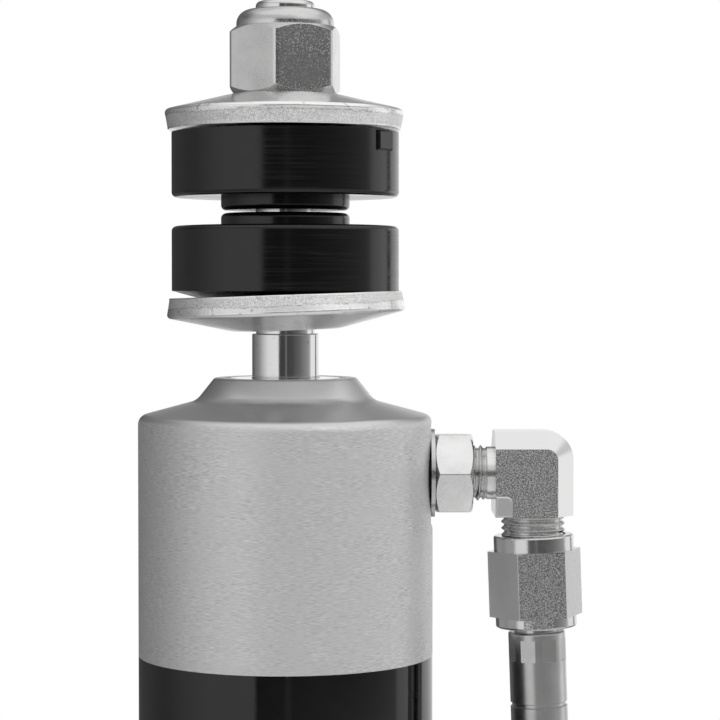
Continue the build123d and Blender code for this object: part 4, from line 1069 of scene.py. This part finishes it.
@dataclass
class Shock:
    """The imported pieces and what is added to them."""

    shop: FinishShop
    cap_side_depth: float = 9.2 * MM
    elbow_skin: Span = (7.8 * MM, 8.7 * MM)
    union_skin_depth: float = 3.6 * MM
    tilt: float = math.radians(-2.0)
    washer_rise: float = 3.86 * MM
    outlet_x: float = 53.4 * MM
    outlet_drop: float = 8.9 * MM
    outlet_od: float = 13.8 * MM
    outlet_length: float = 4.8 * MM
    adapter_below_nut: float = 4.6 * MM
    stud_od: float = 12.0 * MM
    stud_length: float = 3.2 * MM
    stud_overlap: float = 0.3 * MM
    thread_depth: float = 0.65 * MM
    thread_pitch: float = 1.4 * MM
    valve_od: float = 7.7 * MM
    valve_start: float = 0.7 * MM
    valve_length: float = 8.0 * MM
    valve_depth: float = 0.35 * MM
    valve_pitch: float = 0.8 * MM

    def special(self) -> dict[str, Recipe]:
        """Finishes that one node has for itself.

        Returns:
            Node name to finish.
        """
        side_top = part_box("body_cap")[1][2] - self.cap_side_depth
        skin_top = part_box("upper_swivel_nut")[1][2] - self.union_skin_depth
        beyond, within = self.elbow_skin
        crimped = PlatedSteel(
            "crimped_plate", (0.66, 0.66, 0.655), roughness=0.30, speck=0.0
        )
        return {
            "body_cap": BrushedAluminium("cap_aluminium", side_top=side_top),
            # dark sets how far the painted shade in the elbow skin's pits darkens its tone.
            "port_elbow": ForgedSteel(
                tone=(0.80, 0.80, 0.795), beyond=beyond, within=within, dark=0.32
            ),
            "upper_swivel_nut": ForgedSteel("rolled_plate", below=skin_top),
            "lower_swivel_nut": ForgedSteel("rolled_plate_low"),
            "port_locknut": PlatedSteel(
                "locknut_plate", (0.86, 0.86, 0.855), roughness=0.20
            ),
            "upper_hose_ferrule": crimped,
            "lower_hose_ferrule": crimped,
        }

    def dress(self) -> None:
        """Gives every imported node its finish."""
        slots = {sub["node"]: sub["material_slot"] for sub in frame["record"]["subparts"]}
        recipes = {finish.slot: finish.recipe for finish in Finish}
        special = self.special()
        for name, node in frame["nodes"].items():
            self.shop.coat(node, special.get(name, recipes[slots[name]]))
        log.info("packed pieces dressed: %d", len(frame["nodes"]))

    def washers(self) -> list[PressedWasher]:
        """The two cup washers: the upper one convex up, the lower one turned over and askew.

        Returns:
            The washers, not yet built.
        """
        upper_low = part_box("upper_cup_washer")[0]
        upper = middle("upper_cup_washer")
        lower = middle("lower_cup_washer")
        sine, cosine = math.sin(self.tilt), math.cos(self.tilt)
        start = (lower[0] - self.washer_rise * sine, 0.0, lower[2] + self.washer_rise * cosine)
        return [
            PressedWasher("upper_pressed_washer", "upper_cup_washer", 0.0,
                          (upper[0], 0.0, upper_low[2]), flip=False, seed=11, line=0.80),
            PressedWasher("lower_pressed_washer", "lower_cup_washer", self.tilt, start,
                          flip=True, seed=23),
        ]

    def threads(self) -> list[OpenThread]:
        """The open threads: elbow outlet, port stud, reservoir adapter and valve spout.

        Returns:
            The threads, not yet built.
        """
        stud_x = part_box("port_locknut")[1][0] - self.stud_overlap
        axis_z = float(middle("port_locknut")[2])
        adapter = middle("lower_swivel_nut")
        adapter_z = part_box("lower_swivel_nut")[0][2] - self.adapter_below_nut
        valve = middle("gas_valve")
        valve_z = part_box("gas_valve")[0][2] + self.valve_start
        screw = (self.thread_depth, self.thread_pitch)
        return [
            OpenThread("outlet_thread", (self.outlet_x, 0.0, axis_z - self.outlet_drop),
                       self.outlet_od, *screw, self.outlet_length, Heading.DOWN, self.tilt),
            OpenThread("port_stud_thread", (stud_x, 0.0, axis_z), self.stud_od, *screw,
                       self.stud_length, Heading.ALONG_X),
            OpenThread("adapter_thread", (adapter[0], 0.0, adapter_z), self.outlet_od, *screw,
                       self.outlet_length, Heading.UP),
            OpenThread("valve_thread", (valve[0], 0.0, valve_z), self.valve_od, self.valve_depth,
                       self.valve_pitch, self.valve_length, Heading.UP, slot=Finish.BRASS),
        ]


@dataclass
class Studio:
    """Camera, floor, lamps and surroundings. Stops are pairs of place and brightness; the ramps
    are the two ends of a range and what they are carried to."""

    camera_distance: float = 0.524
    lens: float = 121.5
    sensor: float = 36.0
    clip: Span = (0.01, 50.0)
    look_at: Triple = (16.06 * MM, 0.0, -31.9 * MM)
    camera_height: float = -16.0 * MM
    diffuse_level: float = 0.22
    azimuth_stops: tuple[Span, ...] = (
        (-180, 1.0), (-176, 1.0), (-170, 0.06), (-145, 0.12), (-128, 0.20), (-112, 0.26),
        (-98, 0.36), (-80, 0.62), (-60, 0.88), (-23, 0.95), (-20, 0.06), (0, 0.06), (2, 0.20),
        (5, 0.20), (7, 0.06), (28, 0.08), (55, 0.16), (80, 0.30), (95, 0.42), (99, 1.0),
        (125, 1.0), (127.5, 0.15), (133.5, 0.15), (136, 1.0), (180, 1.0),
    )
    height_stops: tuple[Span, ...] = (
        (-1, 0.9), (-0.76, 0.9), (-0.60, 0.42), (-0.44, 0.28), (0.36, 0.22), (0.50, 0.24),
        (0.64, 0.42), (0.76, 0.92), (1, 0.95),
    )
    dome_across: Ramp = (-0.3, 0.4, 0.7, 1.15)
    dome_front: Ramp = (-0.3, 0.3, 0.48, 0.0)
    dome_right: Ramp = (0.35, 0.75, 0.0, 0.35)
    horizon: Ramp = (0.14, 0.32, 1.0, 0.0)
    lamps: tuple[tuple[str, Triple, float, float], ...] = (
        ("key", (0.85, -1.05, 0.85), 0.8, 18.0), ("fill", (-0.55, -1.45, 0.35), 0.9, 3.5),
    )
    lamp_target: Triple = (0.03, 0.0, -0.15)
    floor_reach: float = 1.6
    floor_lines: int = 9
    floor_gap: float = 0.5 * MM
    floor_tones: tuple[Triple, Triple] = ((0.80, 0.80, 0.80), (0.84, 0.84, 0.84))
    floor_patch: float = 1 / 6
    floor_roughness: float = 0.9
    floor_whitening: Ramp = (0.75, 1.45, 0.5, 1.0)
    floor_mirrored: Ramp = (0.5, 1.0, 0.9, 0.0)

    def camera(self) -> None:
        """Looks along +Y from a little above the middle of the frame."""
        data = bpy.data.cameras.new("camera")
        data.lens = self.lens
        data.sensor_width = self.sensor
        data.clip_start, data.clip_end = self.clip
        eye = bpy.data.objects.new("camera", data)
        drop = self.camera_height - self.look_at[2]
        eye.location = (self.look_at[0], -self.camera_distance, self.camera_height)
        eye.rotation_euler = (math.pi / 2 - math.atan2(drop, self.camera_distance), 0.0, 0.0)
        bpy.context.scene.collection.objects.link(eye)
        bpy.context.scene.camera = eye

    def surroundings(self) -> None:
        """World: white to the camera, an even light on diffuse surfaces, and for reflections a
        studio of a large soft panel on the left, a dark room on the right with a thin gap of
        light, white strips further round and a pale ceiling. Angles are azimuths from the
        camera's side; heights are the sine of the angle above the horizon."""
        world = bpy.data.worlds.new("studio")
        bpy.context.scene.world = world
        paint = Paint(world)
        direction = paint.node("ShaderNodeTexCoord", output="Generated")
        split = {axis: paint.part(direction, axis) for axis in "XYZ"}
        azimuth = paint.node(
            "ShaderNodeMath", {"operation": "ARCTAN2"}, {0: split["X"], 1: split["Y"] * -1}
        )
        around, dome = (
            paint.node(
                "ShaderNodeValToRGB",
                {"stops": [(0.5 + place / full, value) for place, value in stops]},
                {0: share + 0.5},
            )
            for stops, full, share in (
                (self.azimuth_stops, 360, azimuth / TURN),
                (self.height_stops, 2, split["Z"] / 2),
            )
        )
        dome = dome * paint.ramp(split["X"], *self.dome_across)
        dome = dome + paint.ramp(split["Y"], *self.dome_front)
        dome = dome + paint.ramp(split["X"], *self.dome_right)
        level = paint.ramp(abs(split["Z"]), *self.horizon)
        studio = around * level + dome.at_most(1.0) * (1 - level)
        rays = {
            name: paint.node("ShaderNodeLightPath", output=name)
            for name in ("Is Camera Ray", "Is Glossy Ray", "Is Transmission Ray")
        }
        plain = self.diffuse_level * (1 - rays["Is Glossy Ray"]) + studio * rays["Is Glossy Ray"]
        seen = rays["Is Camera Ray"] + rays["Is Transmission Ray"]
        strength = plain * (1 - seen) + seen
        shader = paint.node(
            "ShaderNodeBackground", inputs={"Color": (1, 1, 1, 1), "Strength": strength}
        )
        paint.node("ShaderNodeOutputWorld", inputs={"Surface": shader})

    def lamp(self, name: str, place: Triple, size: float, watts: float) -> None:
        """Adds a soft area lamp that points at the object's middle and isn't mirrored.

        Args:
            name: Name of the lamp.
            place: Where it stands.
            size: Its side, in metres.
            watts: Its power.
        """
        data = bpy.data.lights.new(name, "AREA")
        data.size = size
        data.energy = watts
        lamp = bpy.data.objects.new(name, data)
        lamp.location = place
        aim = np.array(place) - np.array(self.lamp_target)
        flat = math.hypot(aim[0], aim[1])
        lamp.rotation_euler = (math.atan2(flat, aim[2]), 0.0, math.atan2(aim[0], -aim[1]))
        lamp.visible_glossy = False
        bpy.context.scene.collection.objects.link(lamp)

    def floor(self) -> None:
        """Lays a pale floor under the lower eye. It is a level grid, h = 0; the camera sees it
        grow white with the distance from the middle and keeps its shadow near the object, and
        reflections find it bright right below the object."""
        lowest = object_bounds()[0][2]
        lines = np.linspace(-self.floor_reach, self.floor_reach, self.floor_lines)
        x, y = np.meshgrid(lines, lines, indexing="ij")
        points = np.stack([x, y, np.full_like(x, lowest - self.floor_gap)], axis=-1)
        floor = surface_piece("floor", points, False, False)
        material = bpy.data.materials.new("floor")
        paint = Paint(material)
        tone = paint.noise(paint.place(), self.floor_patch, 2.0)
        base = paint.node(
            "ShaderNodeBsdfPrincipled",
            inputs={
                "Base Color": paint.colour(tone, *self.floor_tones),
                "Roughness": self.floor_roughness,
            },
        )
        glow = paint.node("ShaderNodeEmission", inputs={"Strength": 1.0})
        camera_ray = paint.node("ShaderNodeLightPath", output="Is Camera Ray")
        glossy_ray = paint.node("ShaderNodeLightPath", output="Is Glossy Ray")
        reach = paint.node(
            "ShaderNodeVectorMath", {"operation": "LENGTH"}, {0: paint.place()}, output="Value"
        )
        white = camera_ray * paint.ramp(reach, *self.floor_whitening)
        white = white + glossy_ray * paint.ramp(reach, *self.floor_mirrored)
        mixed = paint.node("ShaderNodeMixShader", inputs={0: white, 1: base, 2: glow})
        paint.node("ShaderNodeOutputMaterial", inputs={"Surface": mixed})
        floor.data.materials.append(material)
        floor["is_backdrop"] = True

    def build(self) -> None:
        """Sets everything up."""
        self.camera()
        self.surroundings()
        for lamp in self.lamps:
            self.lamp(*lamp)
        self.floor()
        bpy.context.scene.view_settings.view_transform = "Standard"


def main() -> None:
    """Builds the studio and the shock, piece by piece."""
    logging.basicConfig(level=logging.INFO, format="%(name)s: %(message)s")
    shop = FinishShop()
    Studio().build()
    log.info("studio ready")
    Hose().build(shop)
    shock = Shock(shop)
    shock.dress()
    for washer in shock.washers():
        washer.build(shop)
        log.info("%s built", washer.name)
    for thread in shock.threads():
        thread.build(shop)
        log.info("%s built", thread.name)
    DustCap().build(shop)
    log.info("valve_dust_cap built")


if __name__ == "__main__":
    main()
